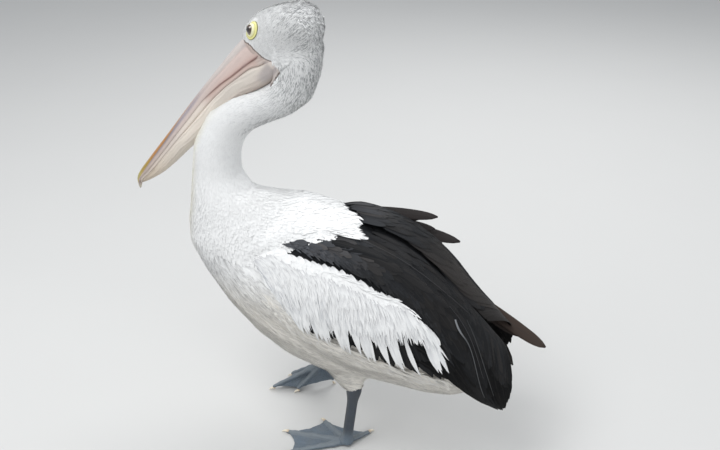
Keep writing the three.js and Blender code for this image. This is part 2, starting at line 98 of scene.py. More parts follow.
# ------------------------------------------------------------------ numbers
class Curve:
    """A smooth curve through rows of (x, y), held level beyond its ends."""

    def __init__(self, rows: Rows, column: int = 1) -> None:
        """Keep the rows and their slopes.

        Args:
            rows: rows with rising first values.
            column: which value of each row is y.
        """
        order = sorted(rows, key=lambda row: row[0])
        self.x = np.array([row[0] for row in order], float)
        self.y = np.array([row[column] for row in order], float)
        last = len(order) - 1
        before = np.maximum(np.arange(last + 1) - 1, 0)
        after = np.minimum(np.arange(last + 1) + 1, last)
        self.slope = (self.y[after] - self.y[before]) / (self.x[after] - self.x[before])

    def __call__(self, x: Array | float) -> Array:
        """Return y at each x.

        Args:
            x: one value or an array of them.

        Returns:
            The smooth curve's height at x.
        """
        x = np.clip(np.asarray(x, float), self.x[0], self.x[-1])
        i = np.clip(np.searchsorted(self.x, x, side="right") - 1, 0, len(self.x) - 2)
        span = self.x[i + 1] - self.x[i]
        t = (x - self.x[i]) / span
        t2, t3 = t * t, t * t * t
        return (
            (2 * t3 - 3 * t2 + 1) * self.y[i]
            + (t3 - 2 * t2 + t) * span * self.slope[i]
            + (3 * t2 - 2 * t3) * self.y[i + 1]
            + (t3 - t2) * span * self.slope[i + 1]
        )


def smooth_step(low: float, high: float, x: Array) -> Array:
    """Return 0 below low, 1 above high and a soft rise between.

    Args:
        low: where the rise starts.
        high: where it ends, which may be below low for a fall.
        x: the values to judge.

    Returns:
        Values from 0 to 1.
    """
    t = np.clip((np.asarray(x, float) - low) / (high - low), 0.0, 1.0)
    return t * t * (3 - 2 * t)


def unit(v: Array) -> Array:
    """Return vectors of length one along the last axis."""
    return v / np.maximum(np.linalg.norm(v, axis=-1, keepdims=True), 1e-12)


def blend(a: Array | Colour, b: Array | Colour, share: Array) -> Array:
    """Mix two colours or vectors by a share for each point.

    Args:
        a: what a share of 0 gives.
        b: what a share of 1 gives.
        share: one value for each point.

    Returns:
        The mixed values, one row for each point.
    """
    share = np.asarray(share, float)[..., None]
    return np.asarray(a, float) * (1 - share) + np.asarray(b, float) * share


def bell(x: Array, middle: Array | float, spread: float) -> Array:
    """Return a soft hump over x: 1 at the middle, and about a third of it at the spread's distance."""
    return np.exp(-(((x - middle) / spread) ** 2))


def boxed(x: Array, power: Array | float) -> Array:
    """Return sines or cosines pushed out from a round towards a box, more so the lower the power."""
    return np.sign(x) * np.abs(x) ** power


def glaze(colour: Array | Colour, *coats: tuple[Array | Colour, Array]) -> Array:
    """Lay colours over one another.

    Args:
        colour: the lowest one.
        coats: each next colour, with its share for each point.

    Returns:
        The mixed colours, one row for each point.
    """
    for coat, share in coats:
        colour = blend(colour, coat, share)
    return colour


# ------------------------------------------------------------------ the body's own places
@dataclass(frozen=True)
class HeadFrame:
    """The head's frame: u forward along the bill, v up from it and w to the bird's left."""

    centre: Spot = (150.0, 0.0, 825.0)
    yaw: float = 8.0
    pitch: float = 50.0

    def axes(self) -> Array:
        """Return the u, v and w axes as rows, in the model's frame."""
        yaw, pitch = math.radians(self.yaw), math.radians(self.pitch)
        u = np.array([-math.cos(pitch) * math.sin(yaw), -math.cos(pitch) * math.cos(yaw), -math.sin(pitch)])
        w = np.array([math.cos(yaw), -math.sin(yaw), 0.0])
        v = np.cross(w, u)
        return np.array([u, v if v[2] > 0 else -v, w])


@dataclass(frozen=True)
class Body:
    """Where things lie on the bird, from the same named sizes as its solids."""

    head: HeadFrame = HeadFrame()
    eye: Spot = (8.0, 27.0, 25.5)
    line: Rows = (
        (200, 765), (175, 800), (150, 828), (125, 836), (112, 815), (110, 785), (114, 750), (134, 716),
        (165, 698), (200, 684), (236, 664), (264, 630), (279, 590), (280, 545), (268, 480), (240, 425),
        (190, 385), (120, 352), (40, 333), (-50, 318), (-130, 285), (-200, 245), (-280, 205),
    )

    def shift(self) -> float:
        """Return how far the model's origin lies behind the hips, from where the left eye is."""
        low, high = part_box("left_eye")
        centre = (low.y + high.y) / 2
        u, v, w = self.eye
        axes = self.head.axes()
        local = (axes[0] * u + axes[1] * v + axes[2] * w) * MM
        return centre - (local[1] - self.head.centre[0] * MM)

    def place(self, forward: Array, left: Array, up: Array) -> Array:
        """Turn forward, left and up in millimetres into points of the model.

        Args:
            forward: millimetres ahead of the hips.
            left: millimetres to the bird's left.
            up: millimetres above the floor.

        Returns:
            Rows of x, y, z in metres.
        """
        forward, left, up = np.broadcast_arrays(*(np.asarray(c, float) for c in (forward, left, up)))
        return np.stack([left * MM, SHIFT - forward * MM, up * MM], axis=-1)

    def measure(self, points: Array) -> tuple[Array, Array, Array]:
        """Return forward, left and up in millimetres for points of the model.

        Args:
            points: rows of x, y, z in metres.

        Returns:
            Three arrays, in millimetres.
        """
        return (SHIFT - points[..., 1]) / MM, points[..., 0] / MM, points[..., 2] / MM

    def in_head(self, u: Array, v: Array, w: Array) -> Array:
        """Turn places in the head's frame, in millimetres, into points of the model.

        Args:
            u: forward along the bill.
            v: up from the bill.
            w: to the bird's left.

        Returns:
            Rows of x, y, z in metres.
        """
        u, v, w = np.broadcast_arrays(*(np.asarray(c, float) for c in (u, v, w)))
        return self.place(*self.head.centre) + (np.stack([u, v, w], axis=-1) * MM) @ self.head.axes()

    def from_head(self, points: Array) -> tuple[Array, Array, Array]:
        """Return u, v and w in millimetres for points of the model.

        Args:
            points: rows of x, y, z in metres.

        Returns:
            Three arrays, in millimetres.
        """
        local = (points - self.place(*self.head.centre)) @ self.head.axes().T / MM
        return local[..., 0], local[..., 1], local[..., 2]


BODY = Body()
SHIFT = BODY.shift()


class BodyLine:
    """The line from the bill's base through head, neck and trunk, which feathers lie along."""

    def __init__(self, rows: Rows, step: float = 6.0) -> None:
        """Lay out the line in short steps.

        Args:
            rows: forward and up, in millimetres.
            step: length of one step, in millimetres.
        """
        points = np.array(rows, float)
        lengths = np.concatenate([[0], np.cumsum(np.linalg.norm(np.diff(points, axis=0), axis=1))])
        forward = Curve(np.stack([lengths, points[:, 0]], axis=1))
        up = Curve(np.stack([lengths, points[:, 1]], axis=1))
        self.t = np.arange(0, lengths[-1], step)
        self.points = BODY.place(forward(self.t), 0.0, up(self.t))
        ahead = BODY.place(forward(self.t + 25), 0.0, up(self.t + 25))
        behind = BODY.place(forward(self.t - 25), 0.0, up(self.t - 25))
        self.tangents = unit(ahead - behind)

    def nearest(self, points: Array) -> tuple[Array, Array, Array]:
        """Find each point's place along the line.

        Args:
            points: rows of x, y, z in metres.

        Returns:
            The distance along the line in millimetres, the line's direction there, and the angle round
            the line in radians, 0 on the back of the neck and the crown.
        """
        best = np.empty(len(points), int)
        for start in range(0, len(points), BATCH):
            part = points[start:start + BATCH]
            away = ((part[:, None, :] - self.points[None]) ** 2).sum(axis=-1)
            best[start:start + BATCH] = away.argmin(axis=1)
        tangent = self.tangents[best]
        offset = points - self.points[best]
        along = (offset * tangent).sum(axis=-1) / MM
        out = np.cross(np.array([1.0, 0.0, 0.0]), tangent)
        angle = np.arctan2(offset[:, 0], (offset * out).sum(axis=-1))
        return self.t[best] + np.clip(along, -4, 4), tangent, angle


LINE = BodyLine(BODY.line)


@dataclass(frozen=True)
class WingForm:
    """The folded wing's outer surface: an ellipse across the body on each side of the spine."""

    offset: float = 30.0
    sections: Rows = (
        (186, 365, 96, 98), (150, 361, 114, 112), (100, 352, 134, 118), (40, 343, 149, 122),
        (-30, 332, 152, 122), (-100, 315, 143, 115), (-160, 292, 125, 103), (-220, 262, 100, 88),
        (-270, 235, 79, 74), (-331, 200, 55, 57), (-375, 172, 40, 44),
    )
    black_edge: Rows = (
        (-214, 86), (-206, 77), (-189, 62.6), (-173, 57), (-155, 52), (-142, 49), (-117, 47.8), (-78, 49.8),
        (-18, 45.7), (59, 43), (101, 39.5), (133, 34.4), (182, 47),
    )
    fringe: Rows = (
        (-214, 88), (-200, 93), (-181, 97), (-165, 106), (-148, 105), (-118, 106), (-85, 106.5),
        (-60, 106), (-12, 103), (23, 101.5), (49, 98.5), (76, 94), (112, 84.5), (128, 80), (143, 73),
        (159, 64), (184, 49),
    )
    gap_top: Rows = (
        (-214, 76), (-186, 68), (-150, 73), (-120, 78), (-100, 86), (-40, 89), (10, 90), (42, 88), (60, 94),
        (76, 94), (112, 84.5), (128, 80), (143, 73), (159, 64), (184, 49),
    )
    mantle_edge: Rows = (
        (-44, -13.6), (-38, 4), (-11, 10.4), (18, 13), (45, 17.5), (72, 22), (100, 24.4), (134, 33.4),
    )
    mantle_rear: Rows = ((-15, 26), (-5, 0), (1, -20), (11, -38), (20, -20))
    flight_edge: Rows = (
        (-331, 141), (-307, 134), (-280, 124.6), (-256, 113), (-213, 102), (-167, 109), (-118, 111),
        (-88, 109), (-60, 108.5), (-36, 107), (-12, 105), (24, 103.5), (49, 100), (76, 95.5), (112, 85),
        (130, 78),
    )
    between: float = -38.0
    puff: float = 0.0


# Forward places, in millimetres, where the wing's parts start or end.
COVER_FRONT = 176
COVER_REAR = -214
SHOULDER_FRONT = 128
QUILL_FRONT = 112
DRAPE_FRONT = -205
# What one degree round the wing measures, and the steps from a feather's tip back to its root.
MM_A_DEGREE = 2.2
BACK_STEPS = 10


class WingSurface:
    """Points, directions and outward ways on one folded wing."""

    def __init__(self, form: WingForm, sign: float) -> None:
        """Read the form's tables.

        Args:
            form: the wing's sizes.
            sign: 1 for the left wing and -1 for the right one.
        """
        self.form, self.sign = form, sign
        self.up = Curve(form.sections, 1)
        self.height = Curve(form.sections, 2)
        self.width = Curve(form.sections, 3)
        self.black_edge = Curve(form.black_edge)
        self.fringe = Curve(form.fringe)
        self.mantle_edge = Curve(form.mantle_edge)
        self.flight_edge = Curve(form.flight_edge)
        self.gap_top = Curve(form.gap_top)
        self.mantle_rear = Curve(form.mantle_rear)

    def at(self, forward: Array, degrees: Array, depth: Array | float = 0.0) -> Array:
        """Return points this deep under the wing's outer surface.

        Args:
            forward: millimetres ahead of the hips.
            degrees: angle round the body, 0 at the crest beside the spine and 90 at the side.
            depth: millimetres inside the surface.

        Returns:
            Rows of x, y, z in metres.
        """
        raised = smooth_step(75, 15, degrees) * smooth_step(75, 10, forward)
        depth = depth - self.form.puff * (raised * smooth_step(-250, -150, forward))
        a = np.radians(degrees)
        left = self.form.offset + (self.width(forward) - depth) * np.sin(a)
        up = self.up(forward) + (self.height(forward) - depth) * np.cos(a)
        return BODY.place(forward, self.sign * left, up)

    def outward(self, forward: Array, degrees: Array) -> Array:
        """Find which way the wing's surface faces.

        Args:
            forward: millimetres ahead of the hips.
            degrees: angle round the body.

        Returns:
            Rows of ways of length one.
        """
        along = self.at(forward + 2, degrees) - self.at(forward - 2, degrees)
        around = self.at(forward, degrees + 1) - self.at(forward, degrees - 1)
        return unit(np.cross(around, along)) * self.sign * -1.0

    def find(self, points: Array) -> tuple[Array, Array]:
        """Return the forward place and the angle of points near this wing.

        Args:
            points: rows of x, y, z in metres.

        Returns:
            Forward in millimetres and the angle in degrees.
        """
        forward, left, up = BODY.measure(points)
        x = (left * self.sign - self.form.offset) / self.width(forward)
        y = (up - self.up(forward)) / self.height(forward)
        return forward, np.degrees(np.arctan2(x, y))

    def spine(self, forward: Array) -> Array:
        """Return the angle at which the surface comes close to the middle plane."""
        return -np.degrees(np.arcsin((self.form.offset - 1.5) / (self.width(forward) - 9.0)))

    def black_top(self, forward: Array) -> Array:
        """Return the upper edge of the black shoulder feathers, in degrees."""
        behind = np.asarray(forward) < self.form.between
        return np.where(behind, self.spine(forward), self.mantle_edge(forward))

    def shoulder(self, forward: Array, degrees: Array, inside: float) -> Array:
        """Return which places lie under the black shoulder feathers.

        Args:
            forward: millimetres ahead of the hips.
            degrees: angle round the body.
            inside: degrees by which their upper edge is drawn in.

        Returns:
            One truth for each place.
        """
        below = (degrees > self.black_top(forward) + inside) & (degrees < self.black_edge(forward))
        return (forward < SHOULDER_FRONT) & below

    def drape(self, forward: Array, degrees: Array) -> Array:
        """Return which places lie under the black quills that hang behind the belly."""
        return (forward < DRAPE_FRONT) & (degrees < self.flight_edge(forward) - 4)

    def paces(self, forward: Array, degrees: Array) -> tuple[Array, Array]:
        """Measure the surface's length for a millimetre forward and for a degree round.

        Args:
            forward: millimetres ahead of the hips.
            degrees: angle round the body.

        Returns:
            The two lengths in millimetres.
        """
        along = self.at(forward + 2, degrees) - self.at(forward - 2, degrees)
        around = self.at(forward, degrees + 1) - self.at(forward, degrees - 1)
        return np.linalg.norm(along, axis=1) / (4 * MM), np.linalg.norm(around, axis=1) / (2 * MM)

    def back_from(
        self, forward: Array, degrees: Array, length: Array, heading: Heading,
    ) -> tuple[Array, Array]:
        """Return the roots of feathers that end at given places.

        Args:
            forward: the tips' forward places.
            degrees: the tips' angles.
            length: the feathers' lengths in millimetres.
            heading: how they lie.

        Returns:
            The roots' forward places and angles.
        """
        f, d = np.array(forward, float), np.array(degrees, float)
        for _ in range(BACK_STEPS):
            way = np.radians(heading(f, d))
            along, around = self.paces(f, d)
            f = f + np.cos(way) * length / BACK_STEPS / along
            d = d - np.sin(way) * length / BACK_STEPS / around
        return f, d


FAR_WING = WingForm(
    mantle_edge=((0, -20), (16, -8.6), (40, 4.7), (58, 20), (72, 22), (100, 24.4), (134, 33.4)),
    mantle_rear=((-18, -8), (-8.6, 16), (4.7, 40), (21.5, 58)), between=0.0, puff=11.0,
)
WINGS = {side: WingSurface(form, side.sign) for side, form in zip(Side, (WingForm(), FAR_WING))}


# ------------------------------------------------------------------ markings
# The face's feathers end at this u for each v, in the head's frame, and under it at the throat's v.
FACE_EDGE = Curve((
    (-75, 18), (-57, 18.5), (-49, 17.4), (-42.6, 19.2), (-32, 23.2), (-20, 28.9), (-8, 30.7), (2.7, 31.6),
    (13.5, 32.2), (20, 35.5), (32, 41.4), (42, 47), (52, 50),
))
THROAT = -58.5
# Bare skin ends at the face's rear along the body's line. Behind the crown's rear it keeps this angle, in
# radians, away from the nape.
FACE_REAR = 230
CROWN_REAR = 150
NAPE_ANGLE = 1.2
# The white of the mantle ends at this forward place for each place to the left.
REAR_OF_WHITE = Curve(((-76, 83), (-40, 65), (-12, 41), (0, 14), (76, 12)))


def ahead_of_feathers(u: Array, v: Array) -> Array:
    """Return how far places in the head's frame lie ahead of the face's feathers, in millimetres."""
    return np.minimum(u - FACE_EDGE(v), v - THROAT)


def below_crown(t: Array, angle: Array) -> Array:
    """Return which places, by their place along and round the body's line, may be bare skin."""
    return (t < FACE_REAR) & ((t < CROWN_REAR) | (np.abs(angle) > NAPE_ANGLE))


@dataclass(frozen=True)
class Markings:
    """The plumage's colours, the same on the skin and on the feathers that grow from it, with painted shade.
    """

    white: Colour = (0.92, 0.925, 0.92)
    cream: Colour = (0.95, 0.91, 0.83)
    # shade and grey are painted shadow: shade on the skin and grey on some tufts, for the dark gaps between
    # white tufts at head and nape.
    shade: Colour = (0.50, 0.51, 0.52)
    grey: Colour = (0.15, 0.16, 0.17)
    black: Colour = (0.0155, 0.0165, 0.0185)
    straw: Colour = (0.93, 0.88, 0.68)
    bare: Colour = (0.62, 0.51, 0.46)
    flushed: Colour = (0.47, 0.42, 0.41)
    pale: Colour = (0.68, 0.62, 0.57)
    rim: Colour = (0.10, 0.07, 0.06)

    def plain(self, points: Array) -> Array:
        """Return the colour of the white plumage at each point, with painted shade on the lower breast.

        Args:
            points: rows of x, y, z in metres.

        Returns:
            Rows of red, green and blue.
        """
        _, _, up = BODY.measure(points)
        t, _, angle = LINE.nearest(points)
        low = smooth_step(560, 640, t) * smooth_step(430, 330, up)
        colour = blend(self.white, self.cream, low * 0.85)
        front = smooth_step(2.0, 2.8, np.abs(angle)) * smooth_step(330, 420, t) * smooth_step(620, 540, t)
        # Painted shade: the lower breast is a tenth darker.
        colour = colour * (1 - 0.1 * smooth_step(490, 540, t) * smooth_step(640, 590, t))[:, None]
        return blend(colour, self.straw, front * 0.6)

    def skin(self, points: Array) -> Array:
        """Return the colour of the skin, black under the black feathers, with painted shade.

        Args:
            points: rows of x, y, z in metres.

        Returns:
            Rows of red, green and blue.
        """
        t, _, _ = LINE.nearest(points)
        # Painted shade: the skin is darker under the head's coat, and grey under the tufts painted dark as
        # shadow.
        lit = 0.88 + 0.15 * smooth_step(180, 300, t)
        colour = blend(self.plain(points) * lit[:, None], self.shade, self.shadow_streaks(points))
        forward, left, up = BODY.measure(points)
        back = (forward < REAR_OF_WHITE(left) - 12) & (np.abs(left) < 40) & (up > 250)
        rump = (forward < -190) & (np.abs(left) < 78) & (up > 238)
        colour[back | rump] = self.black
        for wing in WINGS.values():
            forward, degrees = wing.find(points)
            near = points[:, 0] * wing.sign > 0
            under = (forward < 46) & (forward > -236) & (degrees > wing.gap_top(forward) - 6)
            under &= degrees < wing.flight_edge(forward) - 5
            dark = wing.shoulder(forward, degrees, 3) | wing.drape(forward, degrees) | under
            colour[near & dark] = self.black
        return self.bare_face(points, colour)

    def bare_face(self, points: Array, colour: Array) -> Array:
        """Colour the bare skin ahead of the face's feathers, with a dark line at their edge.

        Args:
            points: rows of x, y, z in metres.
            colour: the plumage's colours.

        Returns:
            The colours with the bare parts put in.
        """
        t, _, angle = LINE.nearest(points)
        u, v, _ = BODY.from_head(points)
        ahead = ahead_of_feathers(u, v)
        near = below_crown(t, angle) & (u > -6) & (v > -75)
        low = smooth_step(-18, -40, v)
        bare = blend(self.bare, self.flushed, low * smooth_step(5, 8, ahead) * smooth_step(26, 16, ahead))
        bare = blend(bare, self.pale, low * smooth_step(7, 4, ahead))
        folds = np.sin((v + 0.55 * u + 1.6 * np.sin(u * 0.5)) * 1.9) * 0.5 + 0.5
        bare = blend(bare, self.flushed, (folds**2 * smooth_step(-8, -20, v) * 0.8))
        colour = np.where((near & (ahead > 0.9))[:, None], bare, colour)
        return np.where((near & (np.abs(ahead - 0.4) < 1.3))[:, None], np.array(self.rim), colour)

    def shadow_streaks(self, points: Array) -> Array:
        """Judge how likely a feather is painted dark as shadow: most at the nape, none on face and breast.

        Args:
            points: rows of x, y, z in metres.

        Returns:
            One share for each point.
        """
        t, _, angle = LINE.nearest(points)
        u, v, _ = BODY.from_head(points)
        behind = smooth_step(2, -70, u + 0.25 * v)
        head = 0.26 * behind + 0.06 * smooth_step(1.0, 0.3, np.abs(angle)) * smooth_step(100, 120, t)
        crest = smooth_step(0.9, 0.2, np.abs(angle)) * smooth_step(390, 250, t)
        neck = 0.27 * smooth_step(370, 235, t) * smooth_step(3.1, 2.2, np.abs(angle)) + 0.14 * crest
        share = smooth_step(140, 185, t)
        return head * (1 - share) + neck * share


PLUMAGE = Markings()


# ------------------------------------------------------------------ materials
class Wire:
    """A node's output, on which Python's arithmetic adds Math nodes."""

    def __init__(self, tree: bpy.types.NodeTree, socket: bpy.types.NodeSocket) -> None:
        """Wrap a socket of a node tree."""
        self.tree, self.socket = tree, socket

    def _join(self, operation: str, left: "Wire | float", right: "Wire | float") -> "Wire":
        """Add one Math node.

        Args:
            operation: what it does.
            left: its first value.
            right: its second value.

        Returns:
            The node's output.
        """
        node = self.tree.nodes.new("ShaderNodeMath")
        node.operation = operation
        for socket, value in zip(node.inputs, (left, right)):
            if isinstance(value, Wire):
                self.tree.links.new(value.socket, socket)
            else:
                socket.default_value = value
        return Wire(self.tree, node.outputs[0])

    def __add__(self, other: "Wire | float") -> "Wire":
        """Add."""
        return self._join("ADD", self, other)

    def __sub__(self, other: "Wire | float") -> "Wire":
        """Take away."""
        return self._join("SUBTRACT", self, other)

    def __rsub__(self, other: float) -> "Wire":
        """Take this from a number."""
        return self._join("SUBTRACT", other, self)

    def __mul__(self, other: "Wire | float") -> "Wire":
        """Multiply."""
        return self._join("MULTIPLY", self, other)

    def __truediv__(self, other: "Wire | float") -> "Wire":
        """Divide."""
        return self._join("DIVIDE", self, other)

    def __pow__(self, other: float) -> "Wire":
        """Raise to a power."""
        return self._join("POWER", self, other)

    __radd__ = __add__
    __rmul__ = __mul__

    def sine(self) -> "Wire":
        """Return the sine."""
        return self._join("SINE", self, 0.0)

    def size(self) -> "Wire":
        """Return the value without its sign."""
        return self._join("ABSOLUTE", self, 0.0)

    def above(self, low: float, high: float) -> "Wire":
        """Return 0 at low rising to 1 at high, held beyond them."""
        share = (self - low) * (1.0 / (high - low))
        return share._join("MINIMUM", share._join("MAXIMUM", share, 0.0), 1.0)


class Shader:
    """A node material under construction."""

    def __init__(self, name: str, roughness: float, **even: float | tuple) -> None:
        """Make the material with one Principled node.

        Args:
            name: the material's name.
            roughness: how rough the surface is.
            even: other inputs of the Principled node that are the same all over.
        """
        self.material = bpy.data.materials.new(name)
        self.material.use_nodes = True
        self.tree = self.material.node_tree
        self.principled = self.tree.nodes["Principled BSDF"]
        self.principled.inputs["Roughness"].default_value = roughness
        for key, value in even.items():
            wanted = key.replace("_", " ")
            socket = next(s for s in self.principled.inputs if s.name.lower() == wanted)
            socket.default_value = value

    def node(self, kind: str, settings: dict | None = None, **inputs: object) -> bpy.types.Node:
        """Add a node, set it and join its inputs.

        Args:
            kind: the node's type, without the ShaderNode in front.
            settings: properties to set before the inputs.
            inputs: values or wires for its sockets, with _ for a space.

        Returns:
            The new node.
        """
        node = self.tree.nodes.new("ShaderNode" + kind)
        for key, value in (settings or {}).items():
            setattr(node, key, value)
        for key, value in inputs.items():
            open_sockets = [s for s in node.inputs if s.enabled]
            socket = next(s for s in open_sockets if s.name == key.replace("_", " "))
            if isinstance(value, Wire):
                self.tree.links.new(value.socket, socket)
            else:
                socket.default_value = value
        return node

    def out(self, node: bpy.types.Node, name: str) -> Wire:
        """Return an output of a node, ready for arithmetic."""
        return Wire(self.tree, next(s for s in node.outputs if s.enabled and s.name == name))

    def attribute(self, name: str, output: str = "Vector") -> Wire:
        """Return what a piece's attribute holds."""
        return self.out(self.node("Attribute", {"attribute_name": name}), output)

    def parts(self, vector: Wire) -> tuple[Wire, Wire, Wire]:
        """Return a vector's three numbers."""
        node = self.node("SeparateXYZ", Vector=vector)
        return tuple(self.out(node, axis) for axis in "XYZ")

    def object_place(self) -> Wire:
        """Return the place on the piece, in metres."""
        return self.out(self.node("TexCoord"), "Object")

    def noise(self, place: Wire, scale: float, detail: float = 3.0, distortion: float = 0.0) -> Wire:
        """Return smooth noise from about 0 to 1."""
        node = self.node("TexNoise", None, Vector=place, Scale=scale, Detail=detail, Distortion=distortion)
        return self.out(node, "Fac")

    def stretched(self, place: Wire, scale: Colour, turn: Colour = (0.0, 0.0, 0.0)) -> Wire:
        """Return a place scaled differently along each axis, after a turn in radians."""
        node = self.node("Mapping", {"vector_type": "POINT"}, Vector=place, Rotation=turn, Scale=scale)
        return self.out(node, "Vector")

    def mix(
        self, share: Wire | float, first: Wire | Colour, second: Wire | Colour, way: str = "MIX",
    ) -> Wire:
        """Mix two colours.

        Args:
            share: how much of the second.
            first: the first colour.
            second: the second colour.
            way: the blend type.

        Returns:
            The mixed colour.
        """
        node = self.tree.nodes.new("ShaderNodeMix")
        node.data_type, node.blend_type, node.clamp_factor = "RGBA", way, True
        for socket, value in zip((node.inputs[0], node.inputs[6], node.inputs[7]), (share, first, second)):
            if isinstance(value, Wire):
                self.tree.links.new(value.socket, socket)
            elif isinstance(value, tuple):
                socket.default_value = (*value, 1.0)
            else:
                socket.default_value = value
        return Wire(self.tree, node.outputs[2])

    def paint(self, colour: Wire, roughness: Wire | None = None) -> None:
        """Join the colour, and the roughness if it varies."""
        self.tree.links.new(colour.socket, self.principled.inputs["Base Color"])
        if roughness is not None:
            self.tree.links.new(roughness.socket, self.principled.inputs["Roughness"])

    def relief(self, height: Wire, depth: float, strength: float = 1.0) -> None:
        """Bump the surface by a height from 0 to 1, this deep in metres."""
        bump = self.node("Bump", None, Strength=strength, Distance=depth, Height=height)
        self.tree.links.new(bump.outputs[0], self.principled.inputs["Normal"])


@dataclass(frozen=True)
class FeatherFinish:
    """Feathers: the plumage's own colour, fine barbs, a shaft line and a softer tip."""

    name: str
    roughness: float = 0.8
    sheen: float = 0.25
    gloss: float = 0.25
    barbs: float = 26.0
    barb_shade: float = 0.12
    shaft: float = 0.0
    shaft_colour: Colour = (0.5, 0.48, 0.45)
    root_shade: float = 0.35
    tip_light: float = 0.1
    tip_colour: Colour = (0.95, 0.95, 0.94)

    def make(self) -> bpy.types.Material:
        """Return the material. It reads the attributes tint and vane."""
        s = Shader(self.name, self.roughness, sheen_weight=self.sheen, sheen_roughness=0.4,
                   specular_ior_level=self.gloss)
        tint = s.attribute("tint", "Color")
        across, along, own = s.parts(s.attribute("vane"))
        slant = (across.size() * 0.8 + along * 2.2 + own * 3.0) * (self.barbs * 2.0)
        barb = slant.sine() * 0.5 + 0.5
        soft = s.noise(s.object_place(), 90.0, 2.0)
        shade = barb * self.barb_shade + soft * 0.12
        colour = s.mix(shade, tint, s.mix(1.0, tint, (0.35, 0.35, 0.36), "MULTIPLY"))
        root = (1.0 - along.above(0.0, 0.55)) * self.root_shade
        colour = s.mix(root, colour, s.mix(1.0, colour, (0.42, 0.42, 0.44), "MULTIPLY"))
        colour = s.mix(along.above(0.6, 1.0) * self.tip_light, colour, self.tip_colour)
        if self.shaft:
            line = (1.0 - across.size().above(0.02, 0.1)) * self.shaft
            colour = s.mix(line, colour, self.shaft_colour)
        s.paint(colour)
        s.relief(barb * 0.5 + soft * 0.5, 0.0006, 0.5)
        return s.material


@dataclass(frozen=True)
class SkinFinish:
    """The skin under the coat, in the plumage's own colours."""

    name: str = "skin_under_coat"

    def make(self) -> bpy.types.Material:
        """Return the material. It reads the attribute tint."""
        s = Shader(self.name, 0.9, specular_ior_level=0.1)
        fine = s.noise(s.object_place(), 260.0, 4.0)
        tint = s.attribute("tint", "Color")
        s.paint(s.mix(fine * 0.5, tint, s.mix(1.0, tint, (0.55, 0.55, 0.56), "MULTIPLY")))
        s.relief(fine, 0.0012, 0.7)
        return s.material


# ------------------------------------------------------------------ making pieces
def deselect() -> None:
    """Leave edit mode and deselect everything."""
    if bpy.context.object is not None and bpy.context.object.mode != "OBJECT":
        bpy.ops.object.mode_set(mode="OBJECT")
    bpy.ops.object.select_all(action="DESELECT")


def add_object(name: str, data: bpy.types.ID) -> Piece:
    """Put something new in the scene.

    Args:
        name: its name.
        data: the mesh, lamp or camera that it holds.

    Returns:
        The new object.
    """
    added = bpy.data.objects.new(name, data)
    bpy.context.scene.collection.objects.link(added)
    return added


def choose(*pieces: Piece) -> None:
    """Select these objects alone and make the first one active."""
    deselect()
    for piece in pieces:
        piece.select_set(True)
    bpy.context.view_layer.objects.active = pieces[0]


def corners(piece: Piece) -> Array:
    """Read a mesh's vertices.

    Args:
        piece: the object.

    Returns:
        Rows of x, y, z, as they stand in its mesh.
    """
    co = np.empty(len(piece.data.vertices) * 3, np.float32)
    piece.data.vertices.foreach_get("co", co)
    return co.reshape(-1, 3).astype(float)


def set_corners(piece: Piece, places: Array) -> None:
    """Move a mesh's vertices to these places."""
    piece.data.vertices.foreach_set("co", np.asarray(places, np.float32).ravel())
    piece.data.update()


def outward_ways(piece: Piece) -> Array:
    """Read a mesh's vertex normals.

    Args:
        piece: the object.

    Returns:
        Rows of ways of length one.
    """
    found = np.empty(len(piece.data.vertices) * 3, np.float32)
    piece.data.vertex_normals.foreach_get("vector", found)
    return found.reshape(-1, 3).astype(float)


def apply(piece: Piece, kind: str, **settings: object) -> None:
    """Add a modifier, set it and apply it.

    Args:
        piece: the object.
        kind: the modifier's type.
        settings: its properties.
    """
    choose(piece)
    modifier = piece.modifiers.new(kind.lower(), kind)
    for key, value in settings.items():
        setattr(modifier, key, value)
    bpy.ops.object.modifier_apply(modifier=modifier.name)


def write_attribute(mesh: bpy.types.Mesh, name: str, values: Array) -> None:
    """Write three numbers for each vertex under a name: a colour as tint, or a vector as vane.

    Args:
        mesh: the mesh.
        name: tint or vane.
        values: rows of three numbers.
    """
    kind, key = ("FLOAT_COLOR", "color") if name == "tint" else ("FLOAT_VECTOR", "vector")
    layer = mesh.attributes.new(name, kind, "POINT")
    if name == "tint":
        values = np.concatenate([values, np.ones((len(values), 1))], axis=1)
    layer.data.foreach_set(key, np.asarray(values, np.float32).ravel())


def finish_piece(
    piece: Piece, material: bpy.types.Material, replaces: Sequence[str] = (),
) -> Piece:
    """Give a piece its material and its place in the frame, and report it.

    Args:
        piece: the object.
        material: its material.
        replaces: the CAD nodes that it stands for.

    Returns:
        The same object.
    """
    piece.data.materials.clear()
    piece.data.materials.append(material)
    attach(piece, "root")
    if replaces:
        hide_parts(*replaces)
    log.info("%s: %d triangles", piece.name, len(piece.data.loops) - 2 * len(piece.data.polygons))
    return piece


# ------------------------------------------------------------------ the skin
# Steps in how strongly the skin is smoothed, and the head's rear end along the body's line.
EASE_LEVELS = 8
HEAD_END = 205


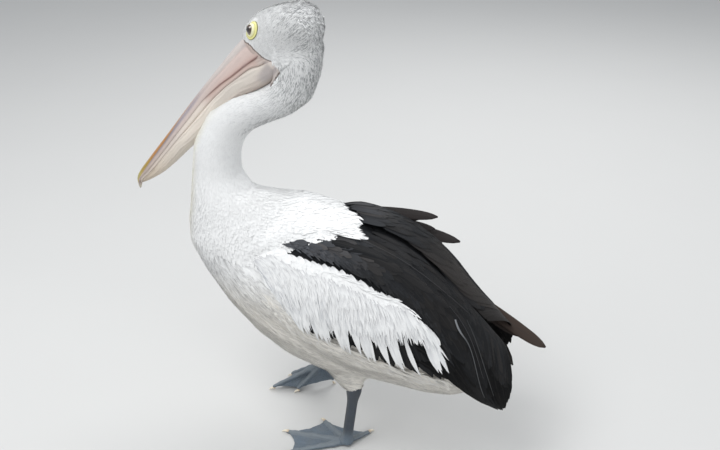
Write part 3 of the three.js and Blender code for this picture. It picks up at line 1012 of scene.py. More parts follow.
@dataclass
class Skin:
    """One skin over head, neck, trunk, thighs and folded wings, a coat's depth inside the solids."""

    nodes: tuple[str, ...] = (
        "head", "neck_upper", "neck_middle", "neck_lower", "breast", "mantle", "belly",
        "left_thigh", "right_thigh",
    )
    wing_nodes: tuple[str, ...] = ("coverts", "scapulars", "secondaries")
    voxel: float = 0.0042
    swell: float = 0.0007
    merge: float = 0.00002
    rounds: int = 22
    depth: Rows = ((0, 0.4), (120, 0.8), (200, 1.5), (400, 1.8), (560, 3.0), (700, 3.5), (1180, 3.5))
    piece: Piece = field(init=False, default=None)

    def build(self) -> Piece:
        """Join, fuse and smooth the flesh, then draw it in by the coat's depth.

        Returns:
            The skin.
        """
        wings = [f"left_{part}" for part in self.wing_nodes]
        names = [(name, 1.0) for name in (*self.nodes, *wings)] + [(name, -1.0) for name in wings]
        copies = [self.flesh(name, side) for name, side in names]
        choose(*copies)
        bpy.ops.object.join()
        self.piece = bpy.context.view_layer.objects.active
        self.piece.name = self.piece.data.name = "skin"
        apply(self.piece, "REMESH", mode="VOXEL", voxel_size=self.voxel)
        apply(self.piece, "SMOOTH", factor=0.5, iterations=self.rounds)
        places = corners(self.piece)
        t, _, _ = LINE.nearest(places)
        deep = Curve(self.depth)(t) + self.hollow_under_fringe(places)
        places -= outward_ways(self.piece) * deep[:, None] * MM
        set_corners(self.piece, places)
        apply(self.piece, "SMOOTH", factor=0.5, iterations=3)
        self.ease_wrist()
        self.refine_head()
        return self.piece

    def flesh(self, name: str, side: float) -> Piece:
        """Copy one solid, a little swollen so that it fuses with the next.

        Args:
            name: the CAD node.
            side: 1 as it is, or -1 for its mirror image.

        Returns:
            The copy.
        """
        copy = add_object("flesh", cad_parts[name].data.copy())
        choose(copy)
        bpy.ops.object.mode_set(mode="EDIT")
        bpy.ops.mesh.select_all(action="SELECT")
        bpy.ops.mesh.remove_doubles(threshold=self.merge)
        if side < 0:
            bpy.ops.mesh.flip_normals()
        bpy.ops.object.mode_set(mode="OBJECT")
        set_corners(copy, corners(copy) * (side, 1.0, 1.0))
        set_corners(copy, corners(copy) + outward_ways(copy) * self.swell)
        return copy

    def ease_wrist(self) -> None:
        """Smooth the creases where a folded wing meets breast and mantle, and the ledge of the rear flank."""
        forward, left, up = BODY.measure(corners(self.piece))
        high = smooth_step(330, 380, up) * smooth_step(110, 150, forward) * smooth_step(285, 240, forward)
        top = smooth_step(60, 95, forward) * smooth_step(430, 450, up)
        group = self.piece.vertex_groups.new(name="wrist")
        rear = smooth_step(-88, -110, forward) * smooth_step(-262, -240, forward)
        rear *= smooth_step(192, 212, up) * smooth_step(272, 250, up)
        weights = np.maximum(np.maximum(high, top), rear) * smooth_step(20, 45, np.abs(left))
        for level in range(1, EASE_LEVELS + 1):
            chosen = np.nonzero(np.ceil(weights * EASE_LEVELS) == level)[0]
            group.add(chosen.tolist(), level / EASE_LEVELS, "REPLACE")
        apply(self.piece, "SMOOTH", factor=0.5, iterations=70, vertex_group="wrist")
        self.piece.vertex_groups.clear()

    def hollow_under_fringe(self, places: Array) -> Array:
        """Judge how much deeper the skin lies where black quills show under the white fringe.

        Args:
            places: rows of x, y, z in metres.

        Returns:
            Millimetres for each place.
        """
        deeper = np.zeros(len(places))
        for wing in WINGS.values():
            forward, degrees = wing.find(places)
            high = wing.gap_top(forward)
            band = smooth_step(high - 10, high, degrees) * (degrees < wing.flight_edge(forward) + 1)
            band *= smooth_step(70, 52, forward) * smooth_step(-236, -212, forward)
            deeper = np.where(places[:, 0] * wing.sign > 0.02, np.maximum(deeper, band * 6.5), deeper)
        return deeper

    def refine_head(self) -> None:
        """Divide the head's faces once more, press in eye sockets and cheek folds, fill nape and shoulder."""
        choose(self.piece)
        bpy.ops.object.mode_set(mode="EDIT")
        bpy.ops.mesh.select_all(action="DESELECT")
        bpy.ops.mesh.select_mode(type="FACE")
        bpy.ops.object.mode_set(mode="OBJECT")
        mesh = self.piece.data
        centres = np.empty(len(mesh.polygons) * 3, np.float32)
        mesh.polygons.foreach_get("center", centres)
        t, _, _ = LINE.nearest(centres.reshape(-1, 3).astype(float))
        mesh.polygons.foreach_set("select", t < HEAD_END)
        bpy.ops.object.mode_set(mode="EDIT")
        bpy.ops.mesh.subdivide(number_cuts=1, smoothness=0.6)
        bpy.ops.object.mode_set(mode="OBJECT")
        places = corners(self.piece)
        u, v, w = BODY.from_head(places)
        eye_u, eye_v, _ = BODY.eye
        away = np.hypot(u - eye_u, (v - eye_v) * 0.85)
        socket = bell(away, 0, 17.0) * (np.abs(w) > 8) * 1.6
        fold = self.fold_depth(u, v) * smooth_step(8, 18, np.abs(w))
        t, _, angle = LINE.nearest(places)
        nape = -4.6 * bell(t, 136, 20.0) * smooth_step(1.3, 0.5, np.abs(angle))
        forward, left, up = BODY.measure(places)
        hump = -5.5 * np.exp(-(((forward - 112) / 42.0) ** 2) - ((left + 42) / 30.0) ** 2) * (up > 440)
        places -= outward_ways(self.piece) * ((socket + fold + nape + hump) * MM)[:, None]
        set_corners(self.piece, places)

    def fold_depth(self, u: Array, v: Array) -> Array:
        """Judge how deep the folds behind the gape are.

        Args:
            u: forward along the bill.
            v: up from the bill.

        Returns:
            Millimetres for each place, below zero on a ridge.
        """
        line = -57.5 + (u - 18.8) * 0.21
        groove = bell(v, line, 2.0) * smooth_step(-14, -2, u) * smooth_step(24, 17, u)
        high = line + 5.0 * np.clip((u + 10) / 28.0, 0, 1)
        ridge = bell(v, high, 2.8) * smooth_step(-12, 4, u) * smooth_step(25, 15, u)
        return 2.6 * groove - 2.4 * ridge

    def dress(self) -> None:
        """Colour the skin and put it in the solids' place."""
        write_attribute(self.piece.data, "tint", PLUMAGE.skin(corners(self.piece)))
        choose(self.piece)
        bpy.ops.object.shade_smooth()
        finish_piece(self.piece, SkinFinish().make(), replaces=self.nodes)


class Ground:
    """The skin as ground that feathers are rooted in and lie on."""

    def __init__(self, piece: Piece) -> None:
        """Read the skin's faces.

        Args:
            piece: the finished skin.
        """
        mesh = piece.data
        self.places = corners(piece)
        normals = outward_ways(piece)
        faces = [tuple(p.vertices) for p in mesh.polygons]
        self.tree = BVHTree.FromPolygons([tuple(p) for p in self.places], faces)
        self.outs = unit(np.array([normals[list(f)].mean(axis=0) for f in faces]))
        quads = np.array([f for f in faces if len(f) == 4])
        self.quads = self.places[quads]
        diagonals = np.cross(self.quads[:, 2] - self.quads[:, 0], self.quads[:, 3] - self.quads[:, 1])
        self.areas = np.linalg.norm(diagonals, axis=1) / 2
        self.middles = self.quads.mean(axis=1)

    def scatter(self, spacing: Callable[[Array], Array], keep: Callable[[Array], Array], seed: int) -> Array:
        """Choose roots evenly over part of the skin.

        Args:
            spacing: millimetres between roots at each place.
            keep: which places bear roots.
            seed: which random draw.

        Returns:
            Rows of x, y, z in metres.
        """
        rng = np.random.default_rng(seed)
        chosen = keep(self.middles)
        quads, areas = self.quads[chosen], self.areas[chosen]
        share = areas / (spacing(self.middles[chosen]) * MM) ** 2
        roots = []
        across = np.maximum(np.round(np.sqrt(share)).astype(int), 1)
        chance = share / across**2
        for k in np.unique(across):
            group = quads[across == k]
            for i in range(k):
                for j in range(k):
                    a = (i + rng.uniform(0, 1, len(group)))[:, None] / k
                    b = (j + rng.uniform(0, 1, len(group)))[:, None] / k
                    spot = (
                        group[:, 0] * (1 - a) * (1 - b) + group[:, 1] * a * (1 - b)
                        + group[:, 2] * a * b + group[:, 3] * (1 - a) * b
                    )
                    roots.append(spot[rng.uniform(0, 1, len(group)) < chance[across == k]])
        roots = np.concatenate(roots)
        return roots[keep(roots)]

    def snap(self, points: Array) -> tuple[Array, Array]:
        """Find the nearest places on the skin.

        Args:
            points: rows of x, y, z in metres.

        Returns:
            The places, and the outward ways there.
        """
        found = [self.tree.find_nearest(Vector(p)) for p in points]
        places = np.array([hit[0] for hit in found])
        return places, self.outs[[hit[2] for hit in found]]


# ------------------------------------------------------------------ vanes
def grid_faces(rows: int, columns: int) -> Array:
    """Number the corners of an open grid's four-sided faces.

    Args:
        rows: how many rows of places.
        columns: how many places in each.

    Returns:
        Rows of four corner numbers.
    """
    corner = np.arange(rows * columns).reshape(rows, columns)
    quads = np.stack([corner[:-1, :-1], corner[:-1, 1:], corner[1:, 1:], corner[1:, :-1]], axis=-1)
    return quads.reshape(-1, 4)


@dataclass
class Vanes:
    """Many like feathers as one mesh: each a narrow leaf that follows a line of places."""

    name: str
    spines: Array
    outs: Array
    widths: Array
    tints: Array
    roots_on_skin: Array
    columns: int = 2
    droop: float = 0.12
    thickness: float = 0.0
    seed: int = 1

    def build(self) -> Piece:
        """Return the mesh, with the attributes tint and vane and the bake's map.

        Returns:
            The piece, not yet dressed.
        """
        n, rows = self.spines.shape[:2]
        along = np.gradient(self.spines, axis=1)
        aside = unit(np.cross(self.outs, along))
        outs = unit(np.cross(along, aside))
        x = np.linspace(-1, 1, self.columns)
        width = self.widths[..., None, None]
        places = (
            self.spines[:, :, None] + aside[:, :, None] * width * x[:, None]
            - outs[:, :, None] * width * self.droop * (x**2)[:, None]
        )
        v = np.linspace(0, 1, rows)
        own = np.random.default_rng(self.seed).uniform(0, 1, n)
        vane = np.empty((n, rows, self.columns, 3))
        vane[..., 0] = x
        vane[..., 1] = v[:, None]
        vane[..., 2] = own[:, None, None]
        tints = self.tints if self.tints.ndim == 3 else np.repeat(self.tints[:, None], rows, axis=1)
        tints = np.repeat(tints[:, :, None], self.columns, axis=2)
        centre = self.bake_places()
        spread = np.stack(np.broadcast_arrays(x[None], (v * 2 - 1)[:, None]), axis=-1)
        uv = centre[:, None, None] + spread[None] * BAKE_PATCH / 2
        quads = grid_faces(rows, self.columns)
        faces = (np.arange(n)[:, None, None] * rows * self.columns + quads[None]).reshape(-1, 4)
        mesh = bpy.data.meshes.new(self.name)
        mesh.vertices.add(n * rows * self.columns)
        mesh.loops.add(faces.size)
        mesh.polygons.add(len(faces))
        mesh.vertices.foreach_set("co", places.astype(np.float32).ravel())
        mesh.loops.foreach_set("vertex_index", faces.ravel().astype(np.int32))
        mesh.polygons.foreach_set("loop_start", np.arange(0, faces.size, 4, dtype=np.int32))
        mesh.update(calc_edges=True)
        write_attribute(mesh, "tint", tints.reshape(-1, 3))
        write_attribute(mesh, "vane", vane.reshape(-1, 3))
        layer = mesh.uv_layers.new(name=BAKE_MAP, do_init=False)
        layer.data.foreach_set("uv", uv.reshape(-1, 2)[faces.ravel()].astype(np.float32).ravel())
        mesh.polygons.foreach_set("use_smooth", np.ones(len(faces), bool))
        piece = add_object(self.name, mesh)
        if self.thickness:
            apply(piece, "SOLIDIFY", thickness=self.thickness * MM, offset=0.0, use_even_offset=False)
        return piece

    def bake_places(self) -> Array:
        """Return each root's place on the skin unrolled along and round the body's line."""
        t, _, angle = LINE.nearest(self.roots_on_skin)
        t = (t - t.min()) / max(float(np.ptp(t)), 1e-6)
        turn = (angle - angle.min()) / max(float(np.ptp(angle)), 1e-6)
        return np.stack([t, turn], axis=1) * (1 - 2 * BAKE_PATCH) + BAKE_PATCH


@dataclass(frozen=True)
class Outline:
    """How wide a feather is from root to tip, as shares of its half width."""

    rows: Rows

    def along(self, count: int) -> Array:
        """Return the shares at evenly spaced places from root to tip."""
        return Curve(self.rows)(np.linspace(0, 1, count))


BRISTLE = Outline(((0, 0.7), (0.5, 1.0), (1, 0.12)))
STRAND = Outline(((0, 0.6), (0.35, 1.0), (0.75, 0.75), (1, 0.08)))
ROUND = Outline(((0, 0.5), (0.3, 0.9), (0.6, 1.0), (0.85, 0.8), (1, 0.25)))
LANCE = Outline(((0, 0.6), (0.3, 1.0), (0.6, 0.86), (0.85, 0.42), (1, 0.04)))
POINTED = Outline(((0, 0.5), (0.25, 0.95), (0.5, 1.0), (0.68, 0.78), (0.86, 0.36), (1, 0.03)))
BROAD = Outline(((0, 0.15), (0.12, 0.55), (0.35, 0.95), (0.6, 1.0), (0.82, 0.78), (0.94, 0.42), (1, 0.08)))
QUILL = Outline(((0, 0.35), (0.15, 0.8), (0.5, 1.0), (0.8, 0.85), (0.93, 0.55), (1, 0.12)))


@dataclass
class BodyCoat:
    """Feathers rooted over part of the skin, lying along the body from bill to tail."""

    name: str
    slot: Slot
    finish: FeatherFinish
    spacing: Rows
    length: Rows
    width: Rows
    keep: Callable[[Array], Array]
    outline: Outline = STRAND
    rows: int = 4
    columns: int = 2
    sunk: float = 0.5
    lift: Rows = ((0, 1.6), (1, 1.6))
    wander: float = 0.16
    wave: float = 0.0
    seed: int = 11
    spread: float = 0.07
    # How much the belly's strands are darkened in stripes, as painted shadow between them.
    shade_banding: float = 0.0
    lean: Heading | None = None
    tint: Colour | None = None

    def build(self, ground: Ground) -> Piece:
        """Root the feathers and lay them along the skin.

        Args:
            ground: the skin that they grow from.

        Returns:
            The finished coat piece.
        """
        rng = np.random.default_rng(self.seed)
        spacing = Curve(self.spacing)
        roots = ground.scatter(lambda p: spacing(LINE.nearest(p)[0]), self.keep, self.seed)
        t, _, _ = LINE.nearest(roots)
        n = len(roots)
        dark, tints = self.colours(roots, rng)
        length = Curve(self.length)(t) * rng.uniform(0.75, 1.2, n) * (1 + 0.35 * dark) * MM
        width = Curve(self.width)(t) * rng.uniform(0.8, 1.2, n) * (1 - 0.25 * dark) * MM
        lift = Curve(self.lift)(t) + 0.35 * dark
        turn = rng.normal(0, self.wander, n)
        sway = rng.normal(0, self.wave, n)
        spine, outs = [], []
        place, out = ground.snap(roots)
        for row in range(self.rows):
            share = row / (self.rows - 1)
            height = (lift * share**1.2 - self.sunk * (1 - share)) * MM * rng.uniform(0.7, 1.3, n)
            spine.append(place + out * height[:, None])
            outs.append(out)
            if row < self.rows - 1:
                way = self.flow(place, out, turn + sway * share)
                place, out = ground.snap(place + way * (length / (self.rows - 1))[:, None])
        vanes = Vanes(
            self.name, np.stack(spine, axis=1), np.stack(outs, axis=1),
            width[:, None] * self.outline.along(self.rows), tints, roots, self.columns,
            seed=self.seed,
        )
        return finish_piece(vanes.build(), self.finish.make())

    def flow(self, places: Array, outs: Array, turn: Array) -> Array:
        """Return the way the coat lies, turned a little for each feather.

        Args:
            places: where.
            outs: the skin's outward ways there.
            turn: radians to turn by.

        Returns:
            Rows of ways of length one.
        """
        _, tangent, _ = LINE.nearest(places)
        if self.lean is not None:
            tangent = self.lean(places, tangent)
        way = unit(tangent - outs * (tangent * outs).sum(axis=1, keepdims=True))
        side = np.cross(outs, way)
        return unit(way * np.cos(turn)[:, None] + side * np.sin(turn)[:, None])

    def colours(self, roots: Array, rng: np.random.Generator) -> tuple[Array, Array]:
        """Choose each feather's colour from the plumage's markings and its painted shadow.

        Args:
            roots: rows of x, y, z in metres.
            rng: the coat's random draws.

        Returns:
            Which feathers are dark, and rows of red, green and blue.
        """
        own = 1.0 - self.spread * rng.uniform(0, 1, len(roots)) ** 2.2 + 0.03
        if self.tint is not None:
            return np.zeros(len(roots)), np.array(self.tint) * own[:, None]
        t, _, angle = LINE.nearest(roots)
        wave = np.sin(angle * 61 + 2.2 * np.sin(t / 47) + 1.7 * np.sin(angle * 17 + t / 90)) * 0.5 + 0.5
        # Painted shadow: on the belly some strands are darkened in stripes, for the shade between the long
        # strands.
        own = own * (1 - self.shade_banding * wave**2 * smooth_step(610, 680, t))
        # Painted shadow: at head and nape some tufts turn grey, where the gaps between white tufts look dark.
        shadow_chance = PLUMAGE.shadow_streaks(roots)
        dark = rng.uniform(0, 1, len(roots)) < shadow_chance
        faint = smooth_step(190, 260, t) * smooth_step(0.5, 1.1, np.abs(angle))
        share = dark * rng.uniform(0.6, 1.0, len(roots)) * (0.4 + 0.6 * np.clip(shadow_chance / 0.45, 0, 1))
        share *= 1 - 0.68 * faint
        return dark, blend(PLUMAGE.plain(roots) * own[:, None], PLUMAGE.grey, share)


# ------------------------------------------------------------------ wings
@dataclass
class WingCoat:
    """One layer of a folded wing's feathers, which follow the wing's own surface."""

    name: str
    slot: Slot
    finish: FeatherFinish
    wing: WingSurface
    forward: Array
    degrees: Array
    length: Array
    width: Array
    heading: Heading
    depth: tuple[float, float]
    tints: Array
    outline: Outline = LANCE
    rows: int = 6
    columns: int = 2
    droop: float = 0.12
    wander: float = 3.0
    sway: float = 3.0
    ragged: float = 0.6
    thickness: float = 0.0
    seed: int = 31

    def build(self, replaces: Sequence[str] = ()) -> Piece:
        """Lay every feather from its root along the heading.

        Args:
            replaces: the CAD nodes that the layer stands for.

        Returns:
            The finished coat piece.
        """
        rng = np.random.default_rng(self.seed)
        n = len(self.forward)
        turn, sway = rng.normal(0, self.wander, n), rng.normal(0, self.sway, n)
        root_depth = self.depth[0] + rng.uniform(-1, 1, n) * self.ragged
        tip_depth = self.depth[1] + rng.uniform(-1, 1, n) * self.ragged
        f, d = self.forward.astype(float), self.degrees.astype(float)
        step = self.length / (self.rows - 1)
        spine, outs = [], []
        for row in range(self.rows):
            share = row / (self.rows - 1)
            depth = root_depth * (1 - share) + tip_depth * share
            spine.append(self.wing.at(f, d, depth))
            outs.append(self.wing.outward(f, d))
            way = np.radians(self.heading(f, d) + turn + sway * share)
            along, around = self.wing.paces(f, d)
            f = f - np.cos(way) * step / along
            d = d + np.sin(way) * step / around
        vanes = Vanes(
            self.name, np.stack(spine, axis=1), np.stack(outs, axis=1),
            self.width[:, None] * MM * self.outline.along(self.rows), self.tints, spine[0], self.columns,
            self.droop, self.thickness, self.seed,
        )
        return finish_piece(vanes.build(), self.finish.make(), replaces=replaces)


BLACK_VANE = FeatherFinish(
    "feathers_black", roughness=0.55, sheen=0.0, gloss=0.07, barbs=34.0, barb_shade=0.3, root_shade=0.4,
    tip_light=0.03, tip_colour=(0.12, 0.115, 0.11), shaft=0.4, shaft_colour=(0.034, 0.033, 0.032),
)
PLUME_VANE = FeatherFinish("feathers_plumes", barb_shade=0.05, root_shade=0.04, tip_light=0.2)
WHITE_VANE = FeatherFinish(
    "feathers_coverts", barb_shade=0.1, root_shade=0.5, tip_light=0.2, shaft=0.15,
    shaft_colour=(0.7, 0.7, 0.69),
)
SOFT_WHITE = FeatherFinish("feathers_white", barb_shade=0.08, root_shade=0.28)
LONG_CREAM = FeatherFinish("feathers_cream", barb_shade=0.05, root_shade=0.5, tip_light=0.05)


@dataclass
class FoldedWing:
    """All the feathers of one folded wing, from the white coverts to the black drape."""

    side: Side
    hang: Rows = (
        (-210, 52), (-160, 60), (-100, 70), (-30, 74), (40, 68), (90, 54), (130, 40), (160, 26), (184, 12),
    )
    bend: Rows = ((-310, 66), (-280, 62), (-255, 55), (-230, 40), (-200, 18), (-180, 9), (-100, 6))
    rear_edge: Rows = ((-29, -302), (11, -315), (44, -322), (80, -325), (110, -324), (127, -314), (134, -296))
    gaps: Rows = (
        (28, 8), (-10, 8.5), (-48, 7.5), (-65, 6), (-97, 9), (-119, 6.5), (-152, 13), (-176, 7), (-192, 5.5),
        (-207, 4.5),
    )
    shafts: tuple[tuple[Spot, ...], ...] = (
        ((-211, 29, 1.6), (-220, 38, 1.9), (-233, 41, 1.3), (-247, 46, 0.7), (-262, 68, 0.6),
         (-272, 88, 0.55), (-281, 103, 0.3)),
        ((-228, 18, 0.5), (-249, 31, 0.6), (-268, 50, 0.6), (-284, 70, 0.55), (-297, 92, 0.3)),
        ((-196, 22, 0.4), (-222, 26, 0.6), (-246, 38, 0.6), (-262, 55, 0.5), (-276, 74, 0.3)),
        # The last line is a painted highlight along the ridge's edge.
        ((24, 14.0, 0.2), (-20, 14.8, 0.7), (-66, 15.4, 0.6), (-110, 15.0, 0.5), (-159, 14.2, 0.45),
         (-212, 10, 0.4), (-236, 8, 0.2)),
    )
    # The last tint is the ridge's painted highlight.
    shaft_tints: tuple[Colour, ...] = (
        (0.12, 0.125, 0.13), (0.075, 0.078, 0.08), (0.06, 0.06, 0.063), (0.06, 0.06, 0.062),
    )
    wing: WingSurface = field(init=False)
    rng: np.random.Generator = field(init=False)

    def __post_init__(self) -> None:
        """Find the wing's surface and start its random draws."""
        self.wing = WINGS[self.side]
        self.rng = np.random.default_rng(100 if self.side is Side.LEFT else 200)

    def grid(
        self, spacing: float, low: float, high: float, top: Callable[[Array], Array],
        bottom: Callable[[Array], Array],
    ) -> tuple[Array, Array]:
        """Spread roots evenly between two edges of the wing.

        Args:
            spacing: millimetres between roots.
            low: the rearmost forward place.
            high: the foremost one.
            top: the upper edge in degrees.
            bottom: the lower edge in degrees.

        Returns:
            Forward places and angles.
        """
        forward = np.arange(low, high, spacing)
        rows = []
        for f in forward:
            a, b = float(top(f)), float(bottom(f))
            reach = abs(math.radians(b - a)) * float(self.wing.width(f) + self.wing.height(f)) / 2
            count = max(int(reach / spacing), 1) if b > a else 0
            round_it = a + (np.arange(count) + 0.5) * (b - a) / max(count, 1)
            rows.append(np.stack([np.full(count, f), round_it], axis=1))
        roots = np.concatenate(rows)
        jitter = self.rng.uniform(-0.5, 0.5, roots.shape) * [spacing, 1.0]
        jitter[:, 1] *= np.degrees(spacing / 130.0)
        return roots[:, 0] + jitter[:, 0], roots[:, 1] + jitter[:, 1]

    def cover_heading(self, f: Array, d: Array) -> Array:
        """Work out how the white coverts hang.

        Args:
            f: forward places.
            d: angles.

        Returns:
            Degrees below rearward.
        """
        steep = Curve(self.hang)(f)
        top = self.wing.black_edge(f)
        share = (d - top) / np.maximum(self.wing.fringe(f) - top, 5)
        return steep * (0.6 + 0.4 * smooth_step(0.0, 0.5, share))

    def black_heading(self, f: Array, d: Array) -> Array:
        """Work out how the black shoulder feathers lie.

        Args:
            f: forward places.
            d: angles.

        Returns:
            Degrees below rearward.
        """
        top, bottom = self.wing.black_top(f), self.wing.black_edge(f)
        share = np.clip((d - top) / np.maximum(bottom - top, 5), 0, 1)
        calm = 3 + 14 * share + 9 * smooth_step(-110, -180, f) * share
        return calm + (self.drape_heading(f, d) - calm) * smooth_step(-180, -225, f)

    def drape_heading(self, f: Array, d: Array) -> Array:
        """Work out how the quills lie.

        Args:
            f: forward places.
            d: angles.

        Returns:
            Degrees below rearward.
        """
        steep = Curve(self.bend)(f)
        return steep - np.maximum(steep - 30, 0) * 0.85 * smooth_step(36, 6, self.wing.flight_edge(f) - d)

    def ridge_heading(self, f: Array, d: Array) -> Array:
        """Return how steeply the ridge's feathers lie, in degrees below rearward."""
        return -1.5 + 0.6 * self.drape_heading(f, d) * smooth_step(-190, -260, f)

    def plume_heading(self, f: Array, d: Array) -> Array:
        """Work out how the mantle's plumes lie, the same all along the wing.

        Args:
            f: forward places, not used.
            d: angles.

        Returns:
            Degrees below rearward.
        """
        return 3 + 6 * smooth_step(0, 25, d)

    @staticmethod
    def slope(edge: Curve, f: Array, reach: float) -> Array:
        """Return how steeply an edge of the wing falls to the rear, in degrees, over this reach both ways."""
        return np.degrees(np.arctan2((edge(f - reach) - edge(f + reach)) * MM_A_DEGREE, 2 * reach))

    def white(self, count: int) -> Array:
        """Return whites with a little spread."""
        return np.array(PLUMAGE.white) * self.rng.uniform(0.97, 1.04, count)[:, None]

    def black(self, count: int, brown: float = 0.35) -> Array:
        """Draw blacks, some a little brown.

        Args:
            count: how many.
            brown: the greatest share of brown.

        Returns:
            Rows of red, green and blue.
        """
        share = self.rng.uniform(0, 1, count) ** 2 * brown
        brownish = blend(PLUMAGE.black, (0.036, 0.031, 0.027), share)
        return brownish * self.rng.uniform(0.8, 1.2, count)[:, None]

    def lay(self, name: str, white: bool, f: Array, d: Array, length: Array, width: Array,
            heading: Heading, depth: tuple[float, float], tints: Array,
            outline: Outline, replaces: Sequence[str] = (), finish: FeatherFinish | None = None,
            **settings: float) -> None:
        """Make one layer of this wing.

        Args:
            name: the layer's own name.
            white: whether its feathers are white.
            f: roots' forward places.
            d: roots' angles.
            length: feathers' lengths in millimetres.
            width: their half widths.
            heading: how they lie.
            depth: how deep roots and tips lie.
            tints: their colours.
            outline: their shape.
            replaces: the CAD nodes that the layer stands for.
            finish: its finish, where it is not the usual white or black one.
            settings: other fields of WingCoat.
        """
        slot, plain = (Slot.WHITE, WHITE_VANE) if white else (Slot.BLACK, BLACK_VANE)
        finish = finish or plain
        coat = WingCoat(f"coat_{name}_{self.side}", slot, finish, self.wing, f, d, length, width, heading,
                        depth, tints, outline, **settings)
        coat.build(replaces)

    def coverts(self) -> None:
        """Make the white coverts: small ones as a base, then hair-like strands over them."""
        wing, rng = self.wing, self.rng
        top, low = wing.black_edge, wing.gap_top
        f, d = self.grid(5.4, -206, 184, lambda x: top(x) - 1, lambda x: low(x) - 10)
        share = np.clip((d - top(f)) / np.maximum(low(f) - top(f), 5), 0, 1)
        n = len(f)
        self.lay("coverts", True, f, d, (22 + 10 * share) * rng.uniform(0.85, 1.15, n),
                 rng.uniform(4.2, 5.4, n), self.cover_heading, (5.0, 3.4), self.white(n), ROUND,
                 (f"{self.side}_coverts",), rows=5, columns=3, wander=5, droop=0.06, ragged=0.35, seed=32)
        f, d = self.grid(3.9, -208, 176, lambda x: top(x) + 2 + 0.12 * (low(x) - top(x)),
                         lambda x: low(x) - 12 + 10 * smooth_step(-130, -190, x))
        share = np.clip((d - top(f)) / np.maximum(low(f) - top(f), 5), 0, 1)
        n = len(f)
        # Painted shade: some strands are grey, more of them low on the coverts, for the shadow lines between
        # strands.
        dark = rng.uniform(0, 1, n) ** 2.0 * (0.26 + 0.74 * smooth_step(0.2, 0.9, share))
        self.lay("strands", True, f, d, (28 + 20 * share) * rng.uniform(0.8, 1.2, n),
                 (1.2 + 0.6 * share) * rng.uniform(0.7, 1.3, n), self.cover_heading, (3.8, 1.0),
                 blend(PLUMAGE.white, (0.47, 0.49, 0.52), dark), LANCE, rows=7, wander=2.5, sway=4, seed=33)
        f = np.arange(-200.0, 24.0, 4.4)
        n = len(f)
        f = f + rng.uniform(-3, 3, n)
        self.lay("edge_tips", True, f, top(f) + rng.uniform(2.5, 4.5, n), rng.uniform(16, 32, n),
                 rng.uniform(1.0, 2.0, n), lambda a, b: self.slope(top, a, 4) - 5, (3.4, 0.6),
                 self.white(n), LANCE, rows=6, wander=5, sway=7, finish=PLUME_VANE, seed=45)

    def fringe(self) -> None:
        """Make the long pointed coverts that hang over the black quills, with slim gaps between them."""
        wing, rng = self.wing, self.rng
        tips = np.concatenate([np.arange(-214.0, 64.0, step) for step in (3.9, 4.6)])
        tips = tips + rng.uniform(-1.2, 1.2, len(tips))
        for middle, half in self.gaps:
            tips = tips[np.abs(tips - middle) > half]
        hidden = np.arange(-200.0, 70.0, 5.0)
        f = np.concatenate([tips, hidden])
        n = len(f)
        upper = np.arange(n) >= len(tips)
        away = np.min([np.abs(f - middle) - half for middle, half in self.gaps], axis=0)
        d = np.where(upper, wing.gap_top(f) + rng.uniform(-3, 2, n) - 5 * smooth_step(2, -6, away),
                     wing.fringe(f) + rng.uniform(-4, 2.5, n))
        length = np.where(upper, rng.uniform(34, 48, n), rng.uniform(58, 84, n))
        length *= (0.7 + 0.3 * smooth_step(66, 20, f)) * (0.8 + 0.2 * smooth_step(-214, -180, f))
        f, d = wing.back_from(f, d, length, self.cover_heading)
        dark = rng.uniform(0, 1, n) ** 2 * 0.45
        self.lay("fringe", True, f, np.maximum(d, wing.black_edge(f) + 1), length,
                 np.where(upper, 3.0, 4.6) * rng.uniform(0.85, 1.2, n), self.cover_heading, (3.0, 0.2),
                 blend(PLUMAGE.white, (0.6, 0.62, 0.64), dark), POINTED, rows=12, columns=3, wander=1.0,
                 sway=2.5, droop=0.16, seed=34)

    def flank(self) -> None:
        """Make the ragged cream feathers along the belly that lie over the quills' lower edge."""
        wing, rng = self.wing, self.rng
        f = np.tile(np.arange(-206.0, 150.0, 1.7), 3)
        n = len(f)
        f = f + rng.uniform(-2, 2, n)
        d = wing.flight_edge(f) + rng.uniform(-1, 11, n) + 5 * smooth_step(-150, -214, f)
        tint = blend(PLUMAGE.white, PLUMAGE.cream, rng.uniform(0.35, 1, n))
        tint = tint * rng.uniform(0.85, 1.03, n)[:, None]
        coat = WingCoat(f"coat_flank_{self.side}", Slot.CREAM, LONG_CREAM, wing, f, d,
                        rng.uniform(26, 50, n) * (1 - 0.62 * smooth_step(-140, -200, f)),
                        rng.uniform(0.9, 2.2, n), lambda a, b: self.slope(wing.flight_edge, a, 8) - 3,
                        (9.5, 2.4), tint, POINTED, rows=7, wander=5, sway=9, ragged=0.9, seed=40)
        coat.build()

